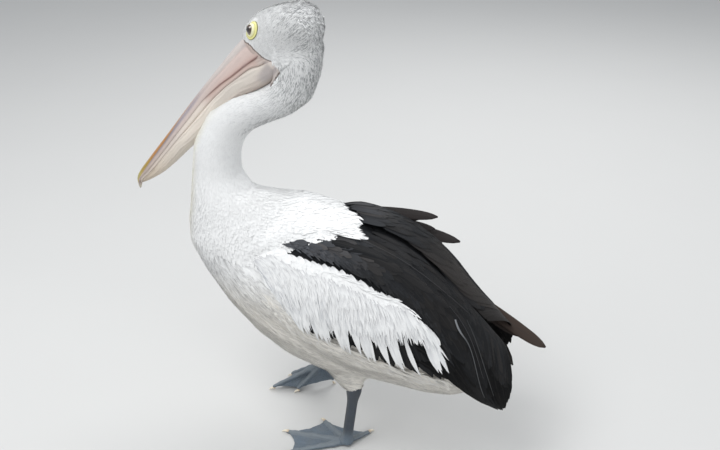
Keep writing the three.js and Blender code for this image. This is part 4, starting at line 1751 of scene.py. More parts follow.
    def shoulders(self) -> None:
        """Make the black shoulder feathers, a raised ridge row and the fine points at their lower edge."""
        wing, rng = self.wing, self.rng
        f, d = self.grid(11.0, -215, 128, lambda x: wing.black_top(x) + 2, lambda x: wing.black_edge(x) - 8)
        n = len(f)
        rear = smooth_step(60, -200, f)
        # The black feathers grow lighter towards the front as painted sheen, and darker towards the rear as
        # painted shade.
        tints = self.black(n) * (1.1 + 3.3 * smooth_step(-60, 100, f) - 0.35 * rear)[:, None]
        if self.side is Side.RIGHT:
            tints = blend(tints, (0.055, 0.049, 0.045), 0.6 * smooth_step(-50, -130, f))
        self.lay("scapulars", False, f, d, (52 + 66 * rear) * rng.uniform(0.85, 1.15, n),
                 (7 + 4.5 * rear) * rng.uniform(0.85, 1.15, n), self.black_heading, (5.4, 1.8), tints,
                 QUILL, (f"{self.side}_scapulars",), rows=10, columns=5, droop=0.06, wander=1.5, sway=2,
                 seed=35)
        f = np.repeat(np.arange(20.0, -200.0, -17.0), 2)
        n = len(f)
        self.lay("ridge", False, f + rng.uniform(-3, 3, n), 23 + rng.uniform(-1, 3, n),
                 rng.uniform(96, 120, n), rng.uniform(9, 11, n), self.ridge_heading, (2.4, 0.0),
                 self.black(n), QUILL, rows=12, columns=5, droop=0.22, wander=1.0, sway=1.5, ragged=0.3,
                 seed=41)
        f = np.tile(np.arange(-206.0, 122.0, 4.2), 3)
        n = len(f)
        f = f + rng.uniform(-2.5, 2.5, n)
        length = rng.uniform(14, 28, n) * (0.5 + 0.5 * smooth_step(128, 40, f))
        d = wing.black_edge(f) - rng.uniform(6.0, 12.0, n)
        # Painted sheen: the points grow lighter towards the front, like the shoulder feathers above them.
        tints = self.black(n, 0.15) * (1.4 + 4.2 * smooth_step(-60, 100, f))[:, None]
        self.lay("points", False, f, d, length, rng.uniform(1.3, 2.6, n),
                 lambda a, b: self.black_heading(a, b) + 14, (3.0, 0.9), tints, LANCE, rows=5,
                 wander=4, seed=36)

    def pale_shafts(self) -> None:
        """Make the few long pale shafts that cross the black drape, and a painted highlight along the ridge.
        """
        rows, spines, outs, widths = 22, [], [], []
        for line in self.shafts:
            table = np.array(line)
            share = np.linspace(0, 1, rows) * (len(line) - 1)
            f, d, half = (np.interp(share, np.arange(len(line)), table[:, k]) for k in range(3))
            f, d = (np.convolve(np.pad(x, 2, mode="edge"), np.ones(5) / 5, mode="valid") for x in (f, d))
            spines.append(self.wing.at(f, d, -1.4))
            outs.append(self.wing.outward(f, d))
            widths.append(half * MM)
        spines = np.array(spines)
        tint = np.array(self.shaft_tints)
        tint = np.repeat(tint[:, None], rows, axis=1)
        tint[0] *= 1 + 1.7 * smooth_step(8, 2, np.arange(rows))[:, None]
        vanes = Vanes(f"coat_shafts_{self.side}", spines, np.array(outs), np.array(widths), tint,
                      spines[:, 0], droop=0.1, thickness=0.5, seed=44)
        finish_piece(vanes.build(), BLACK_VANE.make())

    def mantle_plumes(self) -> None:
        """Make the long pointed white feathers that lie from the mantle over the black ones."""
        wing, rng = self.wing, self.rng
        low, high = wing.form.mantle_rear[0][0], wing.form.mantle_rear[-1][0]
        count = 110
        edge = np.arange(wing.form.mantle_rear[-1][1] + 4.0, 128.0, 3.0)
        inner = rng.uniform(low, high - 4, count)
        d = np.concatenate([inner, wing.mantle_edge(edge) - rng.uniform(0.5, 3, len(edge))])
        tips = np.concatenate([wing.mantle_rear(inner) + rng.uniform(0, 1, count) ** 1.5 * 34, edge])
        rear = smooth_step(80, -10, tips)
        length = (18 + 26 * rear) * rng.uniform(0.85, 1.2, len(d))
        f, d = wing.back_from(tips, d, length, self.plume_heading)
        self.lay("mantle_plumes", True, f, np.maximum(d, wing.spine(f) + 0.5), length,
                 (2.2 + 1.6 * rear) * rng.uniform(0.8, 1.2, len(d)), self.plume_heading, (1.6, -2.4),
                 self.white(len(d)), POINTED, rows=8, columns=3, wander=2, sway=4, ragged=0.3,
                 finish=PLUME_VANE, seed=39)

    def quills(self) -> None:
        """Make the long black quills: those under the coverts and those of the rear drape."""
        wing, rng = self.wing, self.rng
        f = np.arange(-168.0, 56.0, 8.0)
        n = len(f)
        length = rng.uniform(84, 104, n) * (0.55 + 0.45 * smooth_step(90, 20, f))
        reach = np.degrees(length * np.sin(np.radians(self.cover_heading(f, wing.fringe(f)))) / 125.0)
        d = wing.flight_edge(f - 40) - reach - rng.uniform(-1, 3, n)
        self.lay("secondaries", False, f + 18, d, length, rng.uniform(9, 11, n), self.cover_heading,
                 (6.6, 3.6), self.black(n) * 0.8, QUILL, (f"{self.side}_secondaries",), rows=12, columns=5,
                 wander=2, sway=2, seed=37)
        shorter = 0.0 if self.side is Side.LEFT else 26.0
        rear = Curve(self.rear_edge)
        f, d = self.grid(13.0, -318 + shorter, -208, lambda x: wing.spine(x) + 14, wing.flight_edge)
        inside = f > rear(d) + 14 + shorter
        round_edge = np.arange(-26.0, 134.0, 3.0)
        bottom = np.arange(-322.0 + shorter, -232.0, 3.0)
        edge = rear(round_edge) + shorter + rng.uniform(2, 10, len(round_edge))
        f = np.concatenate([f[inside], edge, bottom])
        d = np.concatenate([d[inside], round_edge, wing.flight_edge(bottom) - rng.uniform(1, 5, len(bottom))])
        keep = d < np.minimum(wing.flight_edge(f), 131)
        f, d = f[keep], d[keep]
        n = len(f)
        # Painted shade: the quills grow darker towards the lower edge of the drape.
        tints = self.black(n) * (1 - 0.72 * smooth_step(10, 75, d))[:, None]
        if self.side is Side.RIGHT:
            tints = blend(tints, (0.045, 0.04, 0.037), 0.55 * smooth_step(120, 40, d))
        length = rng.uniform(96, 124, n)
        f, d = wing.back_from(f, d, length, self.drape_heading)
        self.lay("primaries", False, f, np.maximum(d, wing.spine(f) + 3), length, rng.uniform(8, 10.5, n),
                 self.drape_heading, (7.5, 2.0), tints, QUILL, (f"{self.side}_primaries",), rows=14,
                 columns=5, wander=1.0, sway=1.5, seed=38)
        f = np.repeat(np.arange(-150.0, -230.0 + shorter, -9.0), 3)
        n = len(f)
        d = wing.spine(f) + np.tile([2.0, 8.0, 14.0], n // 3) + rng.uniform(-1, 1, n)
        self.lay("inner_quills", False, f + rng.uniform(-4, 4, n), d, rng.uniform(80, 92, n),
                 rng.uniform(9, 11, n), lambda a, b: 2 + 0.1 * self.drape_heading(a, b), (7.0, 4.6),
                 self.black(n), QUILL, rows=12, columns=5, wander=1.0, sway=1.5, seed=46)

    def build(self) -> None:
        """Make every layer."""
        self.quills()
        self.shoulders()
        self.coverts()
        self.fringe()
        self.flank()
        self.mantle_plumes()
        if self.side is Side.LEFT:
            self.pale_shafts()


# ------------------------------------------------------------------ where each coat grows
@dataclass(frozen=True)
class Spans:
    """Where coats start and end along the body's line, in millimetres. Neighbours overlap a little."""

    head_end: float = 200
    neck: tuple[float, float] = (190, 380)
    crest: tuple[float, float] = (100, 330)
    breast: tuple[float, float] = (370, 600)
    mantle_start: float = 560
    belly_start: float = 590


SPANS = Spans()


class Grounds:
    """Which places bear which feathers."""

    @staticmethod
    def wing(points: Array) -> Array:
        """Tell which places lie under a folded wing's feathers.

        Args:
            points: rows of x, y, z in metres.

        Returns:
            One truth for each place.
        """
        found = np.zeros(len(points), bool)
        for wing in WINGS.values():
            forward, degrees = wing.find(points)
            near = points[:, 0] * wing.sign > 0
            cover = (forward < COVER_FRONT) & (forward > COVER_REAR)
            cover &= degrees > wing.black_edge(forward) - 2
            low = np.where(forward < QUILL_FRONT, np.maximum(wing.fringe(forward), wing.flight_edge(forward)),
                           wing.fringe(forward))
            cover &= degrees < low
            found |= near & (cover | wing.shoulder(forward, degrees, 5) | wing.drape(forward, degrees))
        return found

    @staticmethod
    def face(points: Array) -> Array:
        """Tell which places on head and throat bear feathers: not the bill, pouch or eye rings.

        Args:
            points: rows of x, y, z in metres.

        Returns:
            One truth for each place.
        """
        u, v, w = BODY.from_head(points)
        eye_u, eye_v, _ = BODY.eye
        along = ((u - eye_u) * 0.95 - (v - eye_v) * 0.3) / 17.5
        across = ((u - eye_u) * 0.3 + (v - eye_v) * 0.95) / 13.0
        ring = (along**2 + across**2 < 1.0) & (np.abs(w) > 10)
        t, _, angle = LINE.nearest(points)
        bare = (ahead_of_feathers(u, v) > -0.4) & below_crown(t, angle)
        return ~bare & ~ring

    @staticmethod
    def head(points: Array) -> Array:
        """Return which places are the head's."""
        t, _, _ = LINE.nearest(points)
        return (t < SPANS.head_end) & Grounds.face(points)

    @staticmethod
    def neck(points: Array) -> Array:
        """Return which places are the upper neck's."""
        t, _, _ = LINE.nearest(points)
        return (t >= SPANS.neck[0]) & (t < SPANS.neck[1]) & Grounds.face(points)

    @staticmethod
    def crest(points: Array) -> Array:
        """Return which places on the nape bear the longer standing tufts."""
        t, _, angle = LINE.nearest(points)
        return (t > SPANS.crest[0]) & (t < SPANS.crest[1]) & (np.abs(angle) < 0.75)

    @staticmethod
    def breast(points: Array) -> Array:
        """Return which places are the lower neck's and the upper breast's."""
        t, _, _ = LINE.nearest(points)
        return (t >= SPANS.breast[0]) & (t < SPANS.breast[1])

    @staticmethod
    def back(points: Array) -> Array:
        """Tell which places are the mantle's, between the wings.

        Args:
            points: rows of x, y, z in metres.

        Returns:
            One truth for each place.
        """
        t, _, _ = LINE.nearest(points)
        forward, left, up = BODY.measure(points)
        high = up > 400 + np.clip(forward - 60, 0, 200) * 0.2
        white = (t >= SPANS.mantle_start) & (forward > REAR_OF_WHITE(left))
        return white & high & ~Grounds.wing(points)

    @staticmethod
    def saddle(points: Array) -> Array:
        """Return which places are the black back's, between the folded wings."""
        forward, left, up = BODY.measure(points)
        return (forward < REAR_OF_WHITE(left) - 30) & (forward > -300) & (np.abs(left) < 34) & (up > 246)

    @staticmethod
    def belly(points: Array) -> Array:
        """Tell which places are the breast's, belly's and thighs'.

        Args:
            points: rows of x, y, z in metres.

        Returns:
            One truth for each place.
        """
        t, _, _ = LINE.nearest(points)
        forward, _, up = BODY.measure(points)
        saddle = (forward < 90) & (up > 330)
        return (t >= SPANS.belly_start) & ~Grounds.wing(points) & ~Grounds.back(points) & ~saddle

    @staticmethod
    def belly_left(points: Array) -> Array:
        """Return the left half of the belly's places."""
        return Grounds.belly(points) & (points[:, 0] >= 0)

    @staticmethod
    def belly_right(points: Array) -> Array:
        """Return the right half of the belly's places."""
        return Grounds.belly(points) & (points[:, 0] < 0)


# ------------------------------------------------------------------ smooth parts
def face_outwards(piece: Piece) -> Piece:
    """Turn all faces of a closed shell outwards and shade it smooth.

    Args:
        piece: the object.

    Returns:
        The same object.
    """
    choose(piece)
    bpy.ops.object.mode_set(mode="EDIT")
    bpy.ops.mesh.select_all(action="SELECT")
    bpy.ops.mesh.normals_make_consistent(inside=False)
    bpy.ops.object.mode_set(mode="OBJECT")
    bpy.ops.object.shade_smooth()
    return piece


def sheet(name: str, grid: Array, wrap_rows: bool = False, caps: bool = False) -> Piece:
    """Make a mesh from a grid of places whose columns close round.

    Args:
        name: the object's name.
        grid: places, rows by columns by 3, counter-clockwise seen from the last row.
        wrap_rows: whether the last row joins the first.
        caps: whether the first and last rows are closed with fans.

    Returns:
        The object, shaded smooth.
    """
    rows, columns = grid.shape[:2]
    corner = np.arange(rows * columns).reshape(rows, columns)
    follow = np.roll(corner, -1, axis=1)
    upper = np.roll(corner, -1, axis=0) if wrap_rows else corner[1:]
    count = rows if wrap_rows else rows - 1
    over = np.roll(upper, -1, axis=1)
    quads = np.stack([corner[:count], follow[:count], over[:count], upper[:count]], axis=-1)
    places = grid.reshape(-1, 3).tolist()
    faces = quads.reshape(-1, 4).tolist()
    if caps:
        for row, turn in ((corner[0], -1), (corner[-1], 1)):
            middle = len(places)
            places.append(grid.reshape(-1, 3)[row].mean(axis=0).tolist())
            ring = row[::turn].tolist()
            faces += [[a, b, middle] for a, b in zip(ring, ring[1:] + ring[:1])]
    mesh = bpy.data.meshes.new(name)
    mesh.from_pydata(places, [], faces)
    return face_outwards(add_object(name, mesh))


def tube(name: str, line: Array, radii: Array, flat: float = 1.0, around: int = 16) -> Piece:
    """Make a closed round bar along a line.

    Args:
        name: the object's name.
        line: places along its middle.
        radii: its radius at each, in metres.
        flat: its height as a share of its width.
        around: corners round it.

    Returns:
        The object.
    """
    along = unit(np.gradient(line, axis=0))
    up = np.array([0.0, 0.0, 1.0]) if abs(along[0][2]) < 0.9 else np.array([0.0, -1.0, 0.0])
    side = unit(np.cross(along, up))
    over = np.cross(side, along)
    a = np.linspace(0, 2 * math.pi, around, endpoint=False)
    ring = side[:, None] * np.cos(a)[None, :, None] + over[:, None] * np.sin(a)[None, :, None] * flat
    return sheet(name, line[:, None] + ring * radii[:, None, None], caps=True)


@dataclass(frozen=True)
class HornFinish:
    """Bill horn and bare skin: the painted colour with streaks along the bill and fine pores."""

    name: str
    roughness: float
    streaks: float
    streak_colour: Colour
    pores: float
    coat: float = 0.0

    def make(self) -> bpy.types.Material:
        """Return the material. It reads the attributes tint and vane."""
        s = Shader(self.name, self.roughness, coat_weight=self.coat, coat_roughness=0.25,
                   specular_ior_level=0.4)
        tint = s.attribute("tint", "Color")
        place = s.attribute("vane")
        long = s.noise(s.stretched(place, (9.0, 120.0, 120.0)), 1.0, 4.0, 0.6)
        blotch = s.noise(place, 22.0, 3.0)
        fine = s.noise(place, 420.0, 3.0)
        lines = (long.above(0.45, 0.75) * 0.7 + blotch.above(0.4, 0.8) * 0.3) * self.streaks
        colour = s.mix(lines, tint, self.streak_colour)
        colour = s.mix(fine * self.pores, colour, s.mix(1.0, colour, (0.6, 0.54, 0.51), "MULTIPLY"))
        s.paint(colour, fine * 0.12 + long * 0.1 + (self.roughness - 0.1))
        s.relief(long * 0.6 + fine * 0.4, 0.0009, 0.55)
        return s.material


@dataclass
class Bill:
    """The long bill: upper half with its ridge and hook, lower half, and the pouch between."""

    culmen: Rows = (
        (14, 22), (24, 30), (40, 32), (52, 38), (90, 42), (220, 47), (330, 49), (420, 51), (464, 51),
        (484, 47), (497, 35),
    )
    tomium: Rows = (
        (14, -16), (24, -14), (42, -9), (74, 0), (110, 8), (145, 17), (185, 24), (207, 26.6), (256, 28),
        (300, 29.5), (340, 30.5), (390, 32), (440, 35), (462, 38.5), (482, 37.5), (497, 30),
    )
    half: Rows = (
        (14, 29), (24, 30.8), (34, 30), (44, 27.6), (60, 24.8), (130, 21.5), (250, 19.5), (330, 18),
        (420, 15), (462, 10), (486, 5.5), (497, 1.6),
    )
    jaw: Rows = (
        (14, 17), (35, 17), (52, 15.5), (71, 10), (96, 8.5), (133, 9.5), (174, 11.5), (201, 12.5),
        (247, 11.5), (300, 9.5), (440, 6), (470, 4.5), (488, 3),
    )
    sag: Rows = (
        (14, -48), (22, -52), (40, -56), (55, -55), (90, -45), (135, -29), (190, -18), (243, -13.5),
        (285, -8), (307, -5), (333, -1.5), (381, 4.5), (420, 11.5), (450, 20.5), (468, 27), (480, 31.5),
    )
    pouch_half: Rows = (
        (12, 31), (20, 32.2), (28, 31.6), (36, 30), (46, 27.8), (60, 25.6), (90, 24), (130, 21.9),
        (240, 19.9), (333, 18), (400, 15.4), (440, 12), (464, 8), (480, 5),
    )
    section: Rows = (
        (0, 0, 1), (0.2, 0.2, 0.97), (0.42, 0.46, 0.8), (0.5, 0.57, 0.65), (0.56, 0.62, 0.61),
        (0.75, 0.86, 0.42), (0.93, 0.99, 0.1), (1, 0.985, 0),
    )
    strip: Rows = ((200, 0.99), (280, 0.93), (330, 0.78), (385, 0.66), (430, 0.55), (480, 0.3))
    jaw_tip: float = 486.0
    pouch_tip: float = 480.0

    def profile(self, u: Array, share: Array) -> tuple[Array, Array]:
        """Return the upper half's section: w and v, from the cutting edge over the ridge.

        Args:
            u: places along the bill.
            share: -1 at the right cutting edge, 0 on the ridge, 1 at the left cutting edge.

        Returns:
            w and v in millimetres.
        """
        low, high, half = Curve(self.tomium)(u), Curve(self.culmen)(u), Curve(self.half)(u)
        s = np.abs(share)
        wide, tall = Curve(self.section, 1)(s), Curve(self.section, 2)(s)
        groove = bell(s, 0.5, 0.035) * 1.5 * smooth_step(475, 440, u)
        keel = bell(s, 0, 0.16) * 0.9
        lip = bell(s, 0.9, 0.05) * 0.5
        w = np.sign(share) * (half * wide - groove + lip)
        return w, low + (high - low) * tall - groove * 0.6 + keel

    @staticmethod
    def paint(piece: Piece, colours: Callable[[Array, Array], Array]) -> None:
        """Colour a piece by its places in the head's frame.

        Args:
            piece: the object.
            colours: gives the colour for u and v in millimetres.
        """
        places = corners(piece)
        u, v, w = BODY.from_head(places)
        write_attribute(piece.data, "tint", colours(u, v))
        write_attribute(piece.data, "vane", np.stack([u, v, w], axis=1) * MM)

    @staticmethod
    def shaded_to_tip(colour: Array, u: Array) -> Array:
        """Darken the colours towards the bill's tip as painted shade, and make them browner.

        Args:
            colour: rows of red, green and blue.
            u: places along the bill.

        Returns:
            The colours, darker and browner towards the tip.
        """
        # Painted shade: darker towards the tip.
        tip_shade = 1 - 0.12 * smooth_step(270, 350, u) - 0.1 * smooth_step(390, 450, u)
        brown = smooth_step(300, 440, u)[..., None] * np.array([0.0, 0.03, 0.08])
        return colour * tip_shade[..., None] * (1 - brown)

    def upper_colours(self, u: Array, v: Array) -> Array:
        """Colour the upper half: pink base, lilac sides, orange ridge and olive nail.

        Args:
            u: forward along the bill.
            v: up from the bill.

        Returns:
            Rows of red, green and blue.
        """
        low, high = Curve(self.tomium)(u), Curve(self.culmen)(u)
        share = (v - low) / np.maximum(high - low, 1)
        far = smooth_step(175, 240, u)
        lilac = far * smooth_step(0.3, 0.55, share)
        colour = self.shaded_to_tip(glaze(
            (0.62, 0.505, 0.46),
            ((0.60, 0.45, 0.40), smooth_step(0.34, 0.1, share)),
            ((0.60, 0.55, 0.52), smooth_step(0.6, 0.7, share)),
            ((0.56, 0.475, 0.44), smooth_step(130, 200, u) * 0.85),
            ((0.62, 0.53, 0.49), far * smooth_step(0.5, 0.25, share) * 0.7),
            ((0.37, 0.325, 0.36), lilac * 0.85),
            ((0.24, 0.21, 0.235), lilac * smooth_step(250, 360, u) * 0.7),
        ), u)
        edge = Curve(self.strip)(u) - 0.05
        strip = smooth_step(edge - 0.05, edge + 0.05, share) * smooth_step(190, 250, u)
        # Dark red along the cutting edge near the gape: partly the horn's own colour, partly painted shade of
        # the gape.
        red = smooth_step(0.09, 0.02, share) * smooth_step(215, 150, u)
        return glaze(
            colour,
            ((0.50, 0.23, 0.055), strip * 0.95),
            ((0.42, 0.29, 0.04), strip * smooth_step(395, 440, u)),
            ((0.42, 0.36, 0.05), smooth_step(450, 466, u) * smooth_step(0.25, 0.5, share)),
            ((0.62, 0.58, 0.47), smooth_step(486, 493, u)),
            ((0.25, 0.11, 0.09), red * 0.85),
        )

    def jaw_colours(self, u: Array, v: Array) -> Array:
        """Colour the lower half, pinker towards the gape, paler in front, with painted shade and highlight.

        Args:
            u: forward along the bill.
            v: up from the bill.

        Returns:
            Rows of red, green and blue.
        """
        edge = Curve(self.tomium)(u) - 0.4
        share = np.clip((edge - v) / Curve(self.jaw)(np.clip(u, 14, 478)), 0, 1)
        # Painted shade in the skin folds at the gape and along the top edge under the upper half; low is a
        # dark line along the lower edge.
        fold = bell(v + 17, 0.25 * (u - 40), 1.1) * smooth_step(60, 48, u) * 0.5
        fold += bell(v + 24 + 0.35 * (u - 40), 0, 1.0) * smooth_step(54, 44, u) * 0.4
        top = smooth_step(0.2, 0.02, share) * smooth_step(215, 140, u) * 0.6
        low = smooth_step(0.84, 0.97, share) * smooth_step(230, 130, u) * 0.6
        return self.shaded_to_tip(glaze(
            (0.57, 0.42, 0.37),
            ((0.63, 0.52, 0.47), share),
            ((0.77, 0.69, 0.63), smooth_step(170, 225, u)),
            # Painted highlight: a pale band along the jaw's middle.
            ((0.80, 0.72, 0.63), smooth_step(190, 230, u) * smooth_step(320, 260, u) * 0.6),
            ((0.66, 0.58, 0.53), smooth_step(56, 40, u) * 0.8),
            ((0.27, 0.16, 0.135), np.clip(fold + top + low, 0, 1)),
        ), u)

    def pouch_colours(self, u: Array, v: Array) -> Array:
        """Colour the pouch beige, with a grey patch, a pale rim behind and a painted highlight in front.

        Args:
            u: forward along the bill.
            v: up from the bill.

        Returns:
            Rows of red, green and blue.
        """
        top = Curve(self.tomium)(u) - Curve(self.jaw)(np.clip(u, 14, 478))
        share = np.clip((top - v) / np.maximum(top - Curve(self.sag)(u), 1), 0, 1)
        patch = smooth_step(84, 62, u) * smooth_step(27, 36, u)
        patch = patch * smooth_step(-24, -33, v) * smooth_step(1.0, 0.75, share)
        return self.shaded_to_tip(glaze(
            (0.66, 0.61, 0.55),
            ((0.60, 0.52, 0.46), smooth_step(0.35, 0.95, share)),
            ((0.80, 0.73, 0.65), smooth_step(130, 230, u) * 0.9),
            # Painted highlight: a pale band along the upper pouch in its front half.
            ((0.83, 0.76, 0.67), bell(share, 0.3, 0.22) * smooth_step(170, 240, u) * 0.6),
            ((0.43, 0.39, 0.385), patch * 0.85),
            ((0.68, 0.61, 0.57), smooth_step(34, 27, u) * 0.9),
            ((0.72, 0.62, 0.50), smooth_step(370, 445, u) * 0.6),
        ), u)

    def upper(self) -> Piece:
        """Make the upper half."""
        u = np.concatenate([np.linspace(16, 450, 112), np.linspace(453, 497, 24)])
        share = np.concatenate([np.linspace(-1, 1, 61), np.linspace(0.8, -0.8, 13)])
        below = np.arange(len(share)) >= 61
        w, v = self.profile(u[:, None], np.where(below, np.sign(share), share)[None])
        half = Curve(self.half)(u)[:, None]
        w = np.where(below[None], share[None] * half, w)
        arch = 2.2 * (1 - (share[None] / 0.9) ** 2) * smooth_step(496, 470, u)[:, None]
        floor = Curve(self.tomium)(u)[:, None] + arch
        v = np.where(below[None], floor, v)
        piece = sheet("bill_upper", BODY.in_head(u[:, None], v, w), caps=True)
        self.paint(piece, self.upper_colours)
        horn = HornFinish("bill_horn", 0.42, 0.42, (0.42, 0.34, 0.345), 0.3, 0.15)
        return finish_piece(piece, horn.make(), replaces=("upper_bill",))

    def lower(self) -> Piece:
        """Make the lower half, a flat bar with a groove along each side."""
        u = np.concatenate([np.linspace(16, 440, 104), np.linspace(443, self.jaw_tip, 20)])[:, None]
        a = np.linspace(0, 2 * math.pi, 48, endpoint=False)[None]
        top = Curve(self.tomium)(u) + 2.6
        deep = (Curve(self.jaw)(u) + 2.6) * np.sqrt(np.clip((self.jaw_tip + 0.5 - u) / 6.0, 0.02, 1))
        half = (Curve(self.half)(u) - 0.1) * np.sqrt(np.clip((self.jaw_tip + 0.5 - u) / 14.0, 0.02, 1))
        side, rise = boxed(np.cos(a), 0.36), boxed(np.sin(a), 0.5)
        groove = 0.9 * bell(rise, 0.25, 0.3) * (np.abs(side) > 0.7)
        grid = BODY.in_head(u + 0 * a, top - deep / 2 + rise * deep / 2, side * (half - groove))
        piece = sheet("bill_lower", grid, caps=True)
        self.paint(piece, self.jaw_colours)
        horn = HornFinish("bill_jaw", 0.45, 0.22, (0.48, 0.38, 0.35), 0.25, 0.1)
        return finish_piece(piece, horn.make(), replaces=("lower_bill",))

    def pouch(self) -> Piece:
        """Make the slack pouch with its long creases and thick rear rim."""
        u = np.concatenate([np.linspace(13, 60, 44), np.linspace(62, self.pouch_tip, 150)])[:, None]
        a = np.linspace(0, 2 * math.pi, 72, endpoint=False)[None]
        top = Curve(self.tomium)(u) - Curve(self.jaw)(np.clip(u, 14, 478)) + 3.5
        low = Curve(self.sag)(u)
        half = Curve(self.pouch_half)(u)
        round_off = np.sqrt(np.clip((u - 12) / 6.0, 0.3, 1))
        round_off = round_off * np.sqrt(np.clip((self.pouch_tip + 1 - u) / 16.0, 0.03, 1))
        side = boxed(np.cos(a), np.where(np.sin(a) > 0, 0.36, 0.8))
        rise = boxed(np.sin(a), np.where(np.sin(a) > 0, 0.6, 0.8))
        way = np.pi * (rise + 1) * 5
        fold = np.sin(way + 2.0 * np.sin(u / 31.0) + 0.8 * np.sin(u / 11.0)) * smooth_step(40, 90, u) * 0.55
        fold += np.sin(way * 2.3 + 1.6 * np.sin(u / 17.0 + 1)) * 0.25 * smooth_step(60, 120, u)
        cross = np.sin(u / 2.6 + 2.5 * np.sin(a * 3)) * 0.12 * smooth_step(200, 60, u)
        rim = 0.5 * bell(u, 24, 4.0)
        half = half * round_off + (fold + cross + rim) * (np.abs(side) > 0.15)
        middle, tall = (top + low) / 2, (top - low) / 2 * (0.55 + 0.45 * round_off)
        grid = BODY.in_head(u + 0 * a, middle + rise * (tall + rim * 0.5), side * half)
        piece = sheet("pouch_skin", grid, caps=True)
        self.paint(piece, self.pouch_colours)
        skin = HornFinish("pouch_skin", 0.5, 0.22, (0.52, 0.44, 0.40), 0.3, 0.08)
        return finish_piece(piece, skin.make(), replaces=("pouch",))

    def build(self) -> None:
        """Make the three parts."""
        self.upper()
        self.lower()
        self.pouch()


@dataclass
class Eye:
    """One eye: a wet dark ball and the bare yellow ring with its lid."""

    side: Side
    radius: float = 10.8
    outer: tuple[float, float] = (18.5, 13.8)
    opening: tuple[float, float] = (14.6, 8.8)
    tilt: float = 17.5
    cornea_from: float = 7.0
    cornea_rise: float = 0.35
    section: Rows = (
        (1.06, -2.5), (1.04, 0.3), (0.97, 1.0), (0.82, 1.25), (0.66, 1.3), (0.52, 0.75), (0.40, 1.1),
        (0.28, 1.15), (0.15, 1.05), (0.05, 0.8), (-0.03, 0.4), (-0.05, -1.5), (0.3, -4.0), (0.8, -4.0),
    )

    def frame(self) -> tuple[Array, Array, Array, Array]:
        """Return the ball's centre and the ways along, up and out of the face."""
        side = self.side.sign
        eye_u, eye_v, eye_w = BODY.eye
        axes = BODY.head.axes()
        out = unit(axes[2] * side * 0.93 + axes[1] * 0.30 + axes[0] * 0.16)
        along = unit(axes[0] - out * (axes[0] @ out))
        return BODY.in_head(eye_u, eye_v, eye_w * side), along, np.cross(out, along) * side, out

    def ball(self) -> None:
        """Make the eyeball, its dark iris turned outward."""
        centre, along, up, out = self.frame()
        deselect()
        bpy.ops.mesh.primitive_uv_sphere_add(segments=48, ring_count=32, radius=self.radius * MM)
        piece = bpy.context.object
        piece.name = piece.data.name = f"eyeball_{self.side}"
        places = corners(piece)
        clear = np.maximum(places[:, 2] / MM - self.cornea_from, 0)
        places[:, 2] += clear * self.cornea_rise * MM
        angle = np.degrees(np.arccos(np.clip(unit(places)[:, 2], -1, 1)))
        pupil, rim = smooth_step(24, 20, angle), smooth_step(66, 74, angle)
        tint = glaze(
            (0.055, 0.026, 0.014),
            ((0.004, 0.004, 0.004), pupil),
            ((0.012, 0.008, 0.006), smooth_step(46, 58, angle)),
            ((0.30, 0.27, 0.20), rim),
        )
        write_attribute(piece.data, "tint", tint)
        turn = np.stack([np.arctan2(places[:, 1], places[:, 0]), angle / 90, 0 * angle], axis=1)
        write_attribute(piece.data, "vane", turn)
        set_corners(piece, centre + places @ np.array([along, up, out]))
        face_outwards(piece)
        s = Shader(f"eye_{self.side}", 0.08, coat_weight=1.0, coat_roughness=0.02, specular_ior_level=0.6)
        spokes = s.noise(s.stretched(s.attribute("vane"), (9.0, 1.2, 1.0)), 3.0, 2.0)
        s.paint(s.mix(spokes.above(0.45, 0.8) * 0.3, s.attribute("tint", "Color"), (0.09, 0.045, 0.02)))
        s.relief(spokes, 0.00002, 0.2)
        finish_piece(piece, s.material, replaces=(f"{self.side}_eye",))

    def ring(self, ground: Ground) -> None:
        """Make the bare ring round the eye, a closed band that lies on the face.

        Args:
            ground: the skin.
        """
        centre, along, up, out = self.frame()
        spokes, lean = 96, math.radians(self.tilt)
        a = np.linspace(0, 2 * math.pi, spokes, endpoint=False)
        share, height = np.array(self.section).T
        outer = np.stack([np.cos(a) * self.outer[0], np.sin(a) * self.outer[1]], axis=1)
        inner = np.stack([np.cos(a) * self.opening[0], np.sin(a) * self.opening[1]], axis=1)
        flat = inner[None] + (outer - inner)[None] * share[:, None, None]
        x = flat[..., 0] * math.cos(lean) - flat[..., 1] * math.sin(lean)
        y = flat[..., 0] * math.sin(lean) + flat[..., 1] * math.cos(lean)
        spots = centre + (x[..., None] * along + y[..., None] * up) * MM + out * self.radius * MM
        places, outs = ground.snap(spots.reshape(-1, 3))
        places, outs = places.reshape(spots.shape), outs.reshape(spots.shape)
        near = np.clip(1 - share, 0, 1)[:, None, None] ** 1.2
        ball = centre + unit(spots - centre) * (self.radius + 0.2) * MM
        base = places * (1 - near) + ball * near
        ways = unit(outs * (1 - near) + out * near)
        crease = 0.12 * np.sin(a * 23)[None] * (share > 0.5)[:, None] * (share < 1)[:, None]
        grid = base + ways * ((height[:, None] + crease) * MM)[..., None]
        piece = sheet(f"eye_ring_{self.side}", grid, wrap_rows=True)
        tint = glaze(
            (0.84, 0.82, 0.34),
            ((0.16, 0.15, 0.07), smooth_step(0.84, 0.94, share)),
            ((0.90, 0.88, 0.60), smooth_step(0.5, 0.3, share)),
            ((0.42, 0.39, 0.11), bell(share, 0.52, 0.06) * 0.6),
            ((0.10, 0.08, 0.05), smooth_step(0.08, -0.02, share)),
        )
        write_attribute(piece.data, "tint", np.repeat(tint, spokes, axis=0))
        write_attribute(piece.data, "vane", grid.reshape(-1, 3) - centre)
        skin = HornFinish(f"eye_ring_{self.side}", 0.42, 0.12, (0.62, 0.58, 0.16), 0.25, 0.15)
        finish_piece(piece, skin.make())

